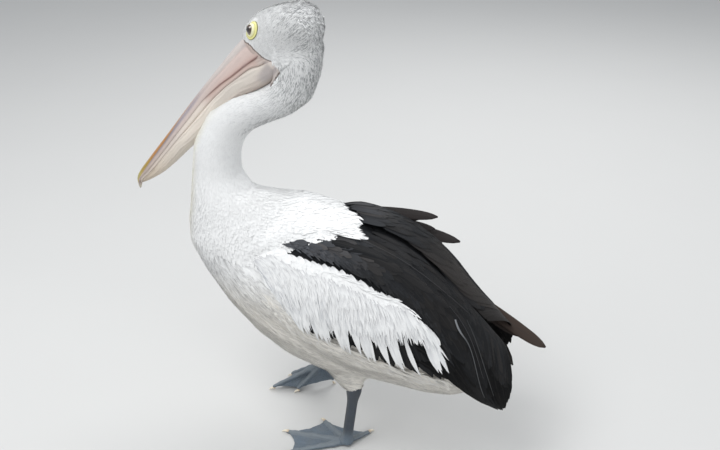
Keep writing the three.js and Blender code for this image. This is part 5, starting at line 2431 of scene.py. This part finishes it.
    def build(self, ground: Ground) -> None:
        """Make ball and ring."""
        self.ball()
        self.ring(ground)


@dataclass(frozen=True)
class LegPose:
    """Where one leg's joints and toe tips are: forward, left and up."""

    ankle: Spot
    heel: Spot
    tips: tuple[tuple[float, float], ...]


LEG_POSES = {
    Side.LEFT: LegPose((-17, 66, 146), (0, 65, 7), ((-42, 8), (78, 7), (142, 71), (113, 134))),
    Side.RIGHT: LegPose((26, -82, 166), (112, -105, 62), ((88, -116), (166, -57), (224, -51), (203, -112))),
}


@dataclass(frozen=True)
class ScaleFinish:
    """Scaly skin of shank and toes: plates along their tops, small round scales between."""

    name: str = "leg_scales"
    dark: Colour = (0.16, 0.205, 0.255)
    light: Colour = (0.20, 0.235, 0.265)

    def make(self) -> bpy.types.Material:
        """Return the material. It reads vane: place along a toe, across it, and how far on top."""
        s = Shader(self.name, 0.55, specular_ior_level=0.35)
        along, _, top = s.parts(s.attribute("vane"))
        cells = s.node("TexVoronoi", {"feature": "DISTANCE_TO_EDGE"}, Vector=s.object_place(), Scale=420.0)
        edge = s.out(cells, "Distance").above(0.0, 0.12)
        wobble = s.noise(s.object_place(), 160.0, 2.0)
        plates = ((along * 1450.0 + wobble * 1.6).sine().size()).above(0.0, 0.4)
        raised = top.above(0.45, 0.7)
        pattern = plates * raised + edge * (1.0 - raised)
        blotch = s.noise(s.object_place(), 38.0, 4.0)
        wrinkle = s.noise(s.stretched(s.object_place(), (220.0, 60.0, 220.0)), 1.0, 3.0)
        colour = s.mix(top.above(0.15, 0.95), self.dark, self.light)
        colour = s.mix(blotch.above(0.35, 0.75) * 0.4, colour, (0.22, 0.235, 0.24))
        colour = s.mix((1.0 - pattern) * 0.55, colour, (0.045, 0.055, 0.065))
        colour = s.mix(1.0, colour, s.attribute("tint", "Color"), "MULTIPLY")
        s.paint(colour, blotch * 0.2 + 0.45)
        s.relief(pattern * 0.7 + wrinkle * 0.3, 0.0011, 0.8)
        return s.material


@dataclass
class Leg:
    """One leg below the feathers: shank, webbed foot and claws."""

    side: Side
    toe_names: tuple[str, ...] = ("hind", "inner", "middle", "outer")
    knuckles: Rows = ((0.45,), (0.33, 0.68), (0.27, 0.52, 0.78), (0.22, 0.4, 0.6, 0.8))
    toe_radius: tuple[float, float] = (7.6, 4.2)
    hollow: tuple[float, ...] = (0.14, 0.09, 0.09)
    claw: float = 14.0
    claw_steps: int = 16
    upper_shade: Colour = (0.44, 0.42, 0.42)
    shank_start: float = -0.16
    shank_radius: float = 10.6
    ankle_swell: float = 4.6
    heel_swell: float = 2.6
    web_start: float = 0.04
    web_thickness: float = 0.0026
    voxel: float = 0.0014

    def bar(self, i: int, count: int = 60) -> Array:
        """Return the line of one toe, in millimetres.

        Args:
            i: which toe.
            count: how many places.

        Returns:
            Rows of forward, left and up.
        """
        pose = LEG_POSES[self.side]
        heel, tip = np.array(pose.heel, float), np.array([*pose.tips[i], 2.6])
        knee = (heel + tip) / 2
        knee[2] = heel[2] * 0.42 + 6 if heel[2] > 20 else 5.2
        k = np.linspace(0, 1, count)[:, None]
        return heel * (1 - k) ** 2 + knee * 2 * k * (1 - k) + tip * k**2

    def radius(self, i: int, k: Array) -> Array:
        """Work out a toe's radius, thicker at its knuckles.

        Args:
            i: which toe.
            k: shares of its line.

        Returns:
            Millimetres at each share.
        """
        first, last = self.toe_radius
        swell = sum(bell(k, spot, 0.045) for spot in self.knuckles[i])
        return (first + (last - first) * k) * (0.92 + 0.2 * swell)

    def toe_end(self, i: int) -> float:
        """Return the share of a toe's line at which its claw starts."""
        line = self.bar(i)
        return 1 - self.claw / float(np.linalg.norm(np.diff(line, axis=0), axis=1).sum())

    def toe(self, i: int) -> Piece:
        """Make one toe.

        Args:
            i: which toe.

        Returns:
            The toe, not yet fused.
        """
        line = self.bar(i)
        k = np.linspace(0, 1, len(line))
        keep = k < self.toe_end(i) + 0.04
        line, k = line[keep], k[keep]
        radius = self.radius(i, k)
        radius[-2:] *= (0.85, 0.55)
        line[:, 2] = np.maximum(line[:, 2], radius * 0.82)
        return tube("toe", BODY.place(*line.T), radius * MM, flat=0.85, around=18)

    def web(self, i: int) -> Piece:
        """Make the web between one toe and the next, slack between them.

        Args:
            i: the first of the two toes.

        Returns:
            The web, not yet fused.
        """
        ends = self.toe_end(i), self.toe_end(i + 1)
        across = np.linspace(0, 1, 25)[None]
        share = np.linspace(0, 1, 40)[:, None]
        reach = (ends[0] + (ends[1] - ends[0]) * across) * (1 - self.hollow[i] * 4 * across * (1 - across))
        k = self.web_start + (reach - self.web_start) * share
        first, second = (self.spot(line, k) for line in (self.bar(i), self.bar(i + 1)))
        place = first + (second - first) * across[..., None]
        slack = 4 * across * (1 - across)
        fold = np.sin(across * 19 + 1.5 * np.sin(share * 7)) * 0.5 + np.sin(share * 31 + across * 9) * 0.18
        height = np.maximum(place[..., 2] - 3.4, 0) * (1 - 0.25 * slack) + 1.6 + fold * slack * share
        grid = BODY.place(place[..., 0], place[..., 1], height)
        mesh = bpy.data.meshes.new("web")
        mesh.from_pydata(grid.reshape(-1, 3).tolist(), [], grid_faces(*grid.shape[:2]).tolist())
        piece = add_object("web", mesh)
        apply(piece, "SOLIDIFY", thickness=self.web_thickness, offset=0.0)
        return piece

    def spot(self, line: Array, k: Array) -> Array:
        """Find places on a line.

        Args:
            line: rows of forward, left and up.
            k: shares of the line.

        Returns:
            Rows of forward, left and up.
        """
        at = np.linspace(0, 1, len(line))
        return np.stack([np.interp(k, at, line[:, axis]) for axis in range(3)], axis=-1)

    def shank_line(self) -> Array:
        """Return the shank's middle line from inside the thigh to the heel, in millimetres."""
        pose = LEG_POSES[self.side]
        ankle, heel = np.array(pose.ankle, float), np.array(pose.heel, float)
        return ankle + (heel - ankle) * np.linspace(self.shank_start, 1, 50)[:, None]

    def shank(self) -> Piece:
        """Make the shank with its thicker ankle and heel joints."""
        line = self.shank_line()
        k = np.linspace(self.shank_start, 1, len(line))
        radius = self.shank_radius + self.ankle_swell * bell(k, 0.02, 0.13)
        radius = radius + self.heel_swell * bell(k, 1, 0.14)
        return tube("shank", BODY.place(*line.T), radius * MM, around=24)

    def claws(self) -> None:
        """Make the four claws, each bent down from its toe's end."""
        for i, name in enumerate(self.toe_names):
            line = self.bar(i)
            share = np.linspace(0, 1, self.claw_steps)
            place = self.spot(line, np.linspace(self.toe_end(i) - 0.01, 1, self.claw_steps))
            place[:, 2] = 4.6 + 1.5 * np.sin(share * math.pi) - 3.6 * share**1.5
            radius = 3.4 * (1 - share) ** 0.65 + 0.35
            piece = tube(f"claw_{name}_{self.side}", BODY.place(*place.T), radius * MM, flat=0.8, around=14)
            places = corners(piece)
            places[:, 2] = np.maximum(places[:, 2], 0.0002)
            set_corners(piece, places)
            far = smooth_step(0.0, 0.5, self.along(places, place))
            tone = blend((0.62, 0.50, 0.36), (0.86, 0.80, 0.66), far)
            write_attribute(piece.data, "tint", tone)
            write_attribute(piece.data, "vane", places)
            horn = HornFinish(f"claw_{name}_{self.side}", 0.42, 0.3, (0.45, 0.36, 0.26), 0.3, 0.1)
            finish_piece(piece, horn.make(), replaces=(f"{self.side}_{name}_claw",))

    @staticmethod
    def along(places: Array, line: Array) -> Array:
        """Find how far along a line each place is.

        Args:
            places: rows of x, y, z in metres.
            line: forward, left and up in millimetres.

        Returns:
            One share for each place.
        """
        points = BODY.place(*line.T)
        nearest = ((places[:, None] - points[None]) ** 2).sum(axis=-1).argmin(axis=1)
        return nearest / (len(points) - 1)

    def build(self) -> None:
        """Fuse shank, toes and webs, and make the claws."""
        parts = [self.shank(), *(self.toe(i) for i in range(4)), *(self.web(i) for i in range(3))]
        choose(*parts)
        bpy.ops.object.join()
        piece = bpy.context.view_layer.objects.active
        piece.name = piece.data.name = f"foot_{self.side}"
        apply(piece, "REMESH", mode="VOXEL", voxel_size=self.voxel)
        apply(piece, "SMOOTH", factor=0.5, iterations=3)
        places = corners(piece)
        places[:, 2] = np.maximum(places[:, 2], 0.0)
        set_corners(piece, places)
        write_attribute(piece.data, "vane", self.lengthwise(piece, places))
        above_heel = places[:, 2] / MM - LEG_POSES[self.side].heel[2]
        shade = blend((1.0, 1.0, 1.0), self.upper_shade, smooth_step(14, 44, above_heel))
        write_attribute(piece.data, "tint", shade)
        choose(piece)
        bpy.ops.object.shade_smooth()
        finish_piece(piece, ScaleFinish(f"leg_scales_{self.side}").make(),
                     replaces=(f"{self.side}_shank", f"{self.side}_foot"))
        self.claws()

    def lengthwise(self, piece: Piece, places: Array) -> Array:
        """Return each vertex's place along its toe or shank, across it, and how far on top it lies.

        Args:
            piece: the fused foot.
            places: its vertices.

        Returns:
            Rows of three numbers.
        """
        outs = outward_ways(piece)
        result = np.zeros((len(places), 3))
        best = np.full(len(places), 1e9)
        lines = [self.shank_line(), *(self.bar(i) for i in range(4))]
        for index, line in enumerate(lines):
            points = BODY.place(*line.T)
            away = ((places[:, None] - points[None]) ** 2).sum(axis=-1)
            nearest = away.argmin(axis=1)
            distance = np.sqrt(away.min(axis=1)) / MM
            length = np.concatenate([[0], np.cumsum(np.linalg.norm(np.diff(points, axis=0), axis=1))])
            way = unit(np.gradient(points, axis=0))[nearest]
            along = length[nearest] + ((places - points[nearest]) * way).sum(axis=1)
            reach = 18.0 if index == 0 else self.radius(index - 1, nearest / (len(line) - 1))
            face = -outs[:, 1] if index == 0 else outs[:, 2]
            top = smooth_step(1.5, 1.0, distance / reach) * smooth_step(-0.1, 0.75, face)
            closer = distance / reach < best
            result[closer] = np.stack([along, distance, top], axis=1)[closer]
            best = np.minimum(best, distance / reach)
        return result


# ------------------------------------------------------------------ tail and loose feathers
@dataclass
class Tail:
    """The short fan of dark tail feathers, with white coverts over and under its root."""

    root: tuple[float, float] = (-182.0, 232.0)
    tip: tuple[float, float] = (-296.0, 180.0)
    root_half: float = 36.0
    tip_half: float = 56.0
    count: int = 15
    coverts: int = 90

    def fan(self, name: str, finish: FeatherFinish, x: Array, start: float, reach: float,
            lift: Array, half: float, tints: Array, replaces: Sequence[str] = (), seed: int = 50) -> None:
        """Make one layer of the fan.

        Args:
            name: the piece's name.
            finish: its material.
            x: where each feather stands across the tail, from -1 to 1.
            start: where the roots lie between root and tip, as a share.
            reach: where the tips lie.
            lift: how far above the fan's middle each feather lies, in millimetres.
            half: half width in millimetres.
            tints: colours.
            replaces: the CAD nodes that the layer stands for.
            seed: the random draw.
        """
        rng = np.random.default_rng(seed)
        rows = 12
        share = start + (reach - start - 0.05 * x[:, None] ** 2) * np.linspace(0, 1, rows)[None]
        share = share * (1 + rng.uniform(-0.03, 0.03, len(x))[:, None])
        forward = self.root[0] + (self.tip[0] - self.root[0]) * share
        up = self.root[1] + (self.tip[1] - self.root[1]) * share
        wide = self.root_half + (self.tip_half - self.root_half) * share
        height = up + lift[:, None] + 5 * (1 - x[:, None] ** 2) - 4 * share**2
        spine = BODY.place(forward, x[:, None] * wide, height)
        outs = np.broadcast_to(unit(np.array([0.0, 0.35, 0.93])), spine.shape) + 0.0
        outs[..., 0] = x[:, None] * 0.25
        widths = half * MM * np.repeat(QUILL.along(rows)[None], len(x), axis=0)
        vanes = Vanes(name, spine, unit(outs), widths, tints, spine[:, 0], columns=5, thickness=0.7,
                      seed=seed)
        finish_piece(vanes.build(), finish.make(), replaces=replaces)

    def build(self) -> None:
        """Make the dark feathers and the white coverts."""
        rng = np.random.default_rng(51)
        x = np.linspace(-1, 1, self.count)
        order = -np.abs(x) * 4.0
        dark = blend(PLUMAGE.black, (0.05, 0.043, 0.038), rng.uniform(0, 0.8, self.count))
        self.fan("tail_feathers", BLACK_VANE, x, 0.0, 1.0, order, 10.5, dark, ("tail",))
        n = self.coverts
        x = rng.uniform(-1.05, 1.05, n)
        white = np.array(PLUMAGE.white) * rng.uniform(0.9, 1.03, n)[:, None]
        over = np.where(np.arange(n) < n // 2, 2.5, -9.0) + rng.uniform(-1, 1, n)
        self.fan("tail_coverts", WHITE_VANE, x, -0.35, 0.42, over, 4.6, white, seed=52)


@dataclass(frozen=True)
class LooseFeather:
    """One feather that stands off the wing, from root to tip as forward, left and up."""

    root: Spot
    tip: Spot
    half: float
    bow: float = 6.0
    brown: float = 0.3


@dataclass
class LooseFeathers:
    """The ruffled feathers that stand off the right wing."""

    face: Spot = (0.5, 0.25, 0.8)
    feathers: tuple[LooseFeather, ...] = (
        LooseFeather((52, -72, 466), (-133, -104, 464), 12.5),
        LooseFeather((30, -84, 452), (-177, -119, 409), 14.5),
        LooseFeather((20, -70, 462), (-98, -94, 458), 9),
        LooseFeather((10, -80, 452), (-128, -106, 436), 10),
        LooseFeather((-214, -82, 316), (-366, -88, 219), 15, -3.0, 1.0),
        LooseFeather((-200, -84, 312), (-318, -84, 238), 13, -3.0, 0.6),
    )

    def build(self) -> None:
        """Make them as one piece."""
        rows = 18
        share = np.linspace(0, 1, rows)
        spines, outs, widths, tints = [], [], [], []
        for feather in self.feathers:
            root, tip = BODY.place(*feather.root), BODY.place(*feather.tip)
            out = unit(np.array(self.face))
            line = root + (tip - root) * share[:, None]
            spines.append(line + out * (feather.bow * np.sin(share * math.pi) * MM)[:, None])
            outs.append(np.broadcast_to(out, (rows, 3)))
            widths.append(feather.half * MM * QUILL.along(rows))
            tints.append(blend(PLUMAGE.black, (0.058, 0.043, 0.036), np.full(1, feather.brown))[0])
        spines = np.array(spines)
        vanes = Vanes("coat_loose_right", spines, np.array(outs), np.array(widths), np.array(tints),
                      spines[:, 0], columns=9, droop=0.16, thickness=0.8, seed=60)
        finish_piece(vanes.build(), BLACK_VANE.make())


@dataclass(frozen=True)
class Studio:
    """The floor, the lights and the camera."""

    eye: Spot = (1.349, 0.446, 1.200)
    heading: tuple[float, float] = (-0.951, -0.309)
    down: float = 27.0
    lens: float = 42.5
    sensor: float = 36.0
    sky: Colour = (0.86, 0.89, 0.93)
    sky_strength: float = 0.62

    def build(self) -> None:
        """Make all three."""
        self.floor()
        self.camera()
        self.light("key", (1.4, -1.0, 3.4), 2.0, 80.0)
        self.light("fill", (2.2, 2.4, 1.8), 2.6, 24.0)
        self.light("rim", (-2.2, 0.3, 3.0), 2.4, 58.0)
        world = bpy.data.worlds.new("studio")
        world.use_nodes = True
        background = world.node_tree.nodes["Background"]
        background.inputs["Color"].default_value = (*self.sky, 1.0)
        background.inputs["Strength"].default_value = self.sky_strength
        bpy.context.scene.world = world
        bpy.context.scene.view_settings.view_transform = "Standard"

    def floor(self) -> None:
        """Make the plain pale floor."""
        deselect()
        bpy.ops.mesh.primitive_plane_add(size=14.0, location=(0.0, 0.0, 0.0))
        floor = bpy.context.object
        floor.name = "studio_floor"
        s = Shader("studio_floor", 0.85, specular_ior_level=0.2)
        grain = s.noise(s.object_place(), 3.0, 2.0)
        s.paint(s.mix(grain * 0.2, (0.60, 0.60, 0.59), (0.54, 0.54, 0.535)))
        floor.data.materials.append(s.material)

    def camera(self) -> None:
        """Set the camera at its place beside and above the bird."""
        data = bpy.data.cameras.new("camera")
        data.lens, data.sensor_width, data.clip_start = self.lens, self.sensor, 0.05
        camera = add_object("camera", data)
        camera.location = (self.eye[0], self.eye[1] + SHIFT, self.eye[2])
        down = math.radians(self.down)
        way = Vector((self.heading[0] * math.cos(down), self.heading[1] * math.cos(down), -math.sin(down)))
        camera.rotation_euler = way.to_track_quat("-Z", "Y").to_euler()
        bpy.context.scene.camera = camera

    def light(self, name: str, place: Spot, size: float, power: float) -> None:
        """Hang one soft square light that faces the bird.

        Args:
            name: the light's name.
            place: where it hangs.
            size: its side in metres.
            power: its power in watts.
        """
        data = bpy.data.lights.new(name, "AREA")
        data.energy, data.size = power, size
        lamp = add_object(name, data)
        lamp.location = place
        lamp.rotation_euler = (Vector((0, 0, 0.45)) - Vector(place)).to_track_quat("-Z", "Y").to_euler()


# ------------------------------------------------------------------ the bird
def sweep_back(points: Array, tangent: Array) -> Array:
    """Turn the lie of the head's feathers straight back from the bill.

    Args:
        points: where.
        tangent: the body line's way there.

    Returns:
        The ways to follow.
    """
    t, _, _ = LINE.nearest(points)
    back = -BODY.head.axes()[0]
    return blend(tangent, back, 0.92 * smooth_step(185, 120, t))


def body_coats() -> list[BodyCoat]:
    """Return the coats of head, neck, breast, mantle and belly."""
    fine = dict(
        spacing=((0, 1.3), (130, 1.6), (200, 1.75), (380, 1.85)), width=((0, 0.5), (130, 0.75), (380, 1.2)),
        length=((0, 3.0), (60, 5), (110, 10), (200, 8.0), (380, 9)), outline=BRISTLE,
        lift=((0, 0.7), (70, 1.3), (110, 1.9), (250, 1.6), (320, 1.1), (380, 1.0)),
    )
    long = dict(
        spacing=((560, 3.0), (700, 3.5)), length=((560, 22), (640, 48), (800, 64), (1100, 42)),
        width=((560, 1.4), (800, 1.5)), rows=7, lift=((560, 1.9), (800, 3.0)), wander=0.05, wave=0.16,
        spread=0.34, shade_banding=0.14,
    )
    return [
        BodyCoat("coat_head", Slot.WHITE, SOFT_WHITE, keep=Grounds.head, wander=0.11, wave=0.12, seed=21,
                 lean=sweep_back, **fine),
        BodyCoat("coat_neck", Slot.GREY, SOFT_WHITE, keep=Grounds.neck, wander=0.14, wave=0.16, seed=22,
                 **fine),
        BodyCoat("coat_crest", Slot.GREY, SOFT_WHITE, ((100, 3.0), (330, 3.4)), ((100, 10), (330, 11)),
                 ((100, 0.9), (330, 1.1)), Grounds.crest, rows=6, lift=((100, 3.2), (330, 2.6)), wander=0.25,
                 wave=0.5, seed=27, spread=0.2),
        BodyCoat("coat_breast", Slot.WHITE, PLUME_VANE, ((370, 1.9), (600, 2.6)), ((370, 9), (600, 17)),
                 ((370, 1.3), (600, 1.8)), Grounds.breast, lift=((370, 1.2), (600, 1.5)), seed=23),
        BodyCoat("coat_mantle", Slot.WHITE, PLUME_VANE, ((560, 3.6), (900, 4.4)), ((560, 20), (900, 30)),
                 ((560, 3.2), (900, 4.2)), Grounds.back, ROUND, rows=5, columns=3,
                 lift=((560, 1.8), (900, 2.4)), wander=0.12, seed=24),
        BodyCoat("coat_saddle", Slot.BLACK, BLACK_VANE, ((560, 10.0), (1100, 10.0)), ((560, 60), (1100, 66)),
                 ((560, 7.5), (1100, 7.5)), Grounds.saddle, QUILL, rows=8, columns=4,
                 lift=((560, 2.0), (1100, 3.0)), wander=0.08, seed=28, spread=0.3, tint=PLUMAGE.black),
        BodyCoat("coat_belly_left", Slot.CREAM, LONG_CREAM, keep=Grounds.belly_left, seed=25, **long),
        BodyCoat("coat_belly_right", Slot.CREAM, LONG_CREAM, keep=Grounds.belly_right, seed=26, **long),
    ]


def main() -> None:
    """Build the bird and the studio, piece by piece."""
    logging.basicConfig(level=logging.INFO, format="%(name)s %(message)s")
    Studio().build()
    skin = Skin()
    skin.build()
    ground = Ground(skin.piece)
    log.info("skin: %d faces", len(skin.piece.data.polygons))
    for coat in body_coats():
        coat.build(ground)
    for side in Side:
        FoldedWing(side).build()
        Eye(side).build(ground)
        Leg(side).build()
    Tail().build()
    LooseFeathers().build()
    Bill().build()
    skin.dress()


if __name__ == "__main__":
    main()
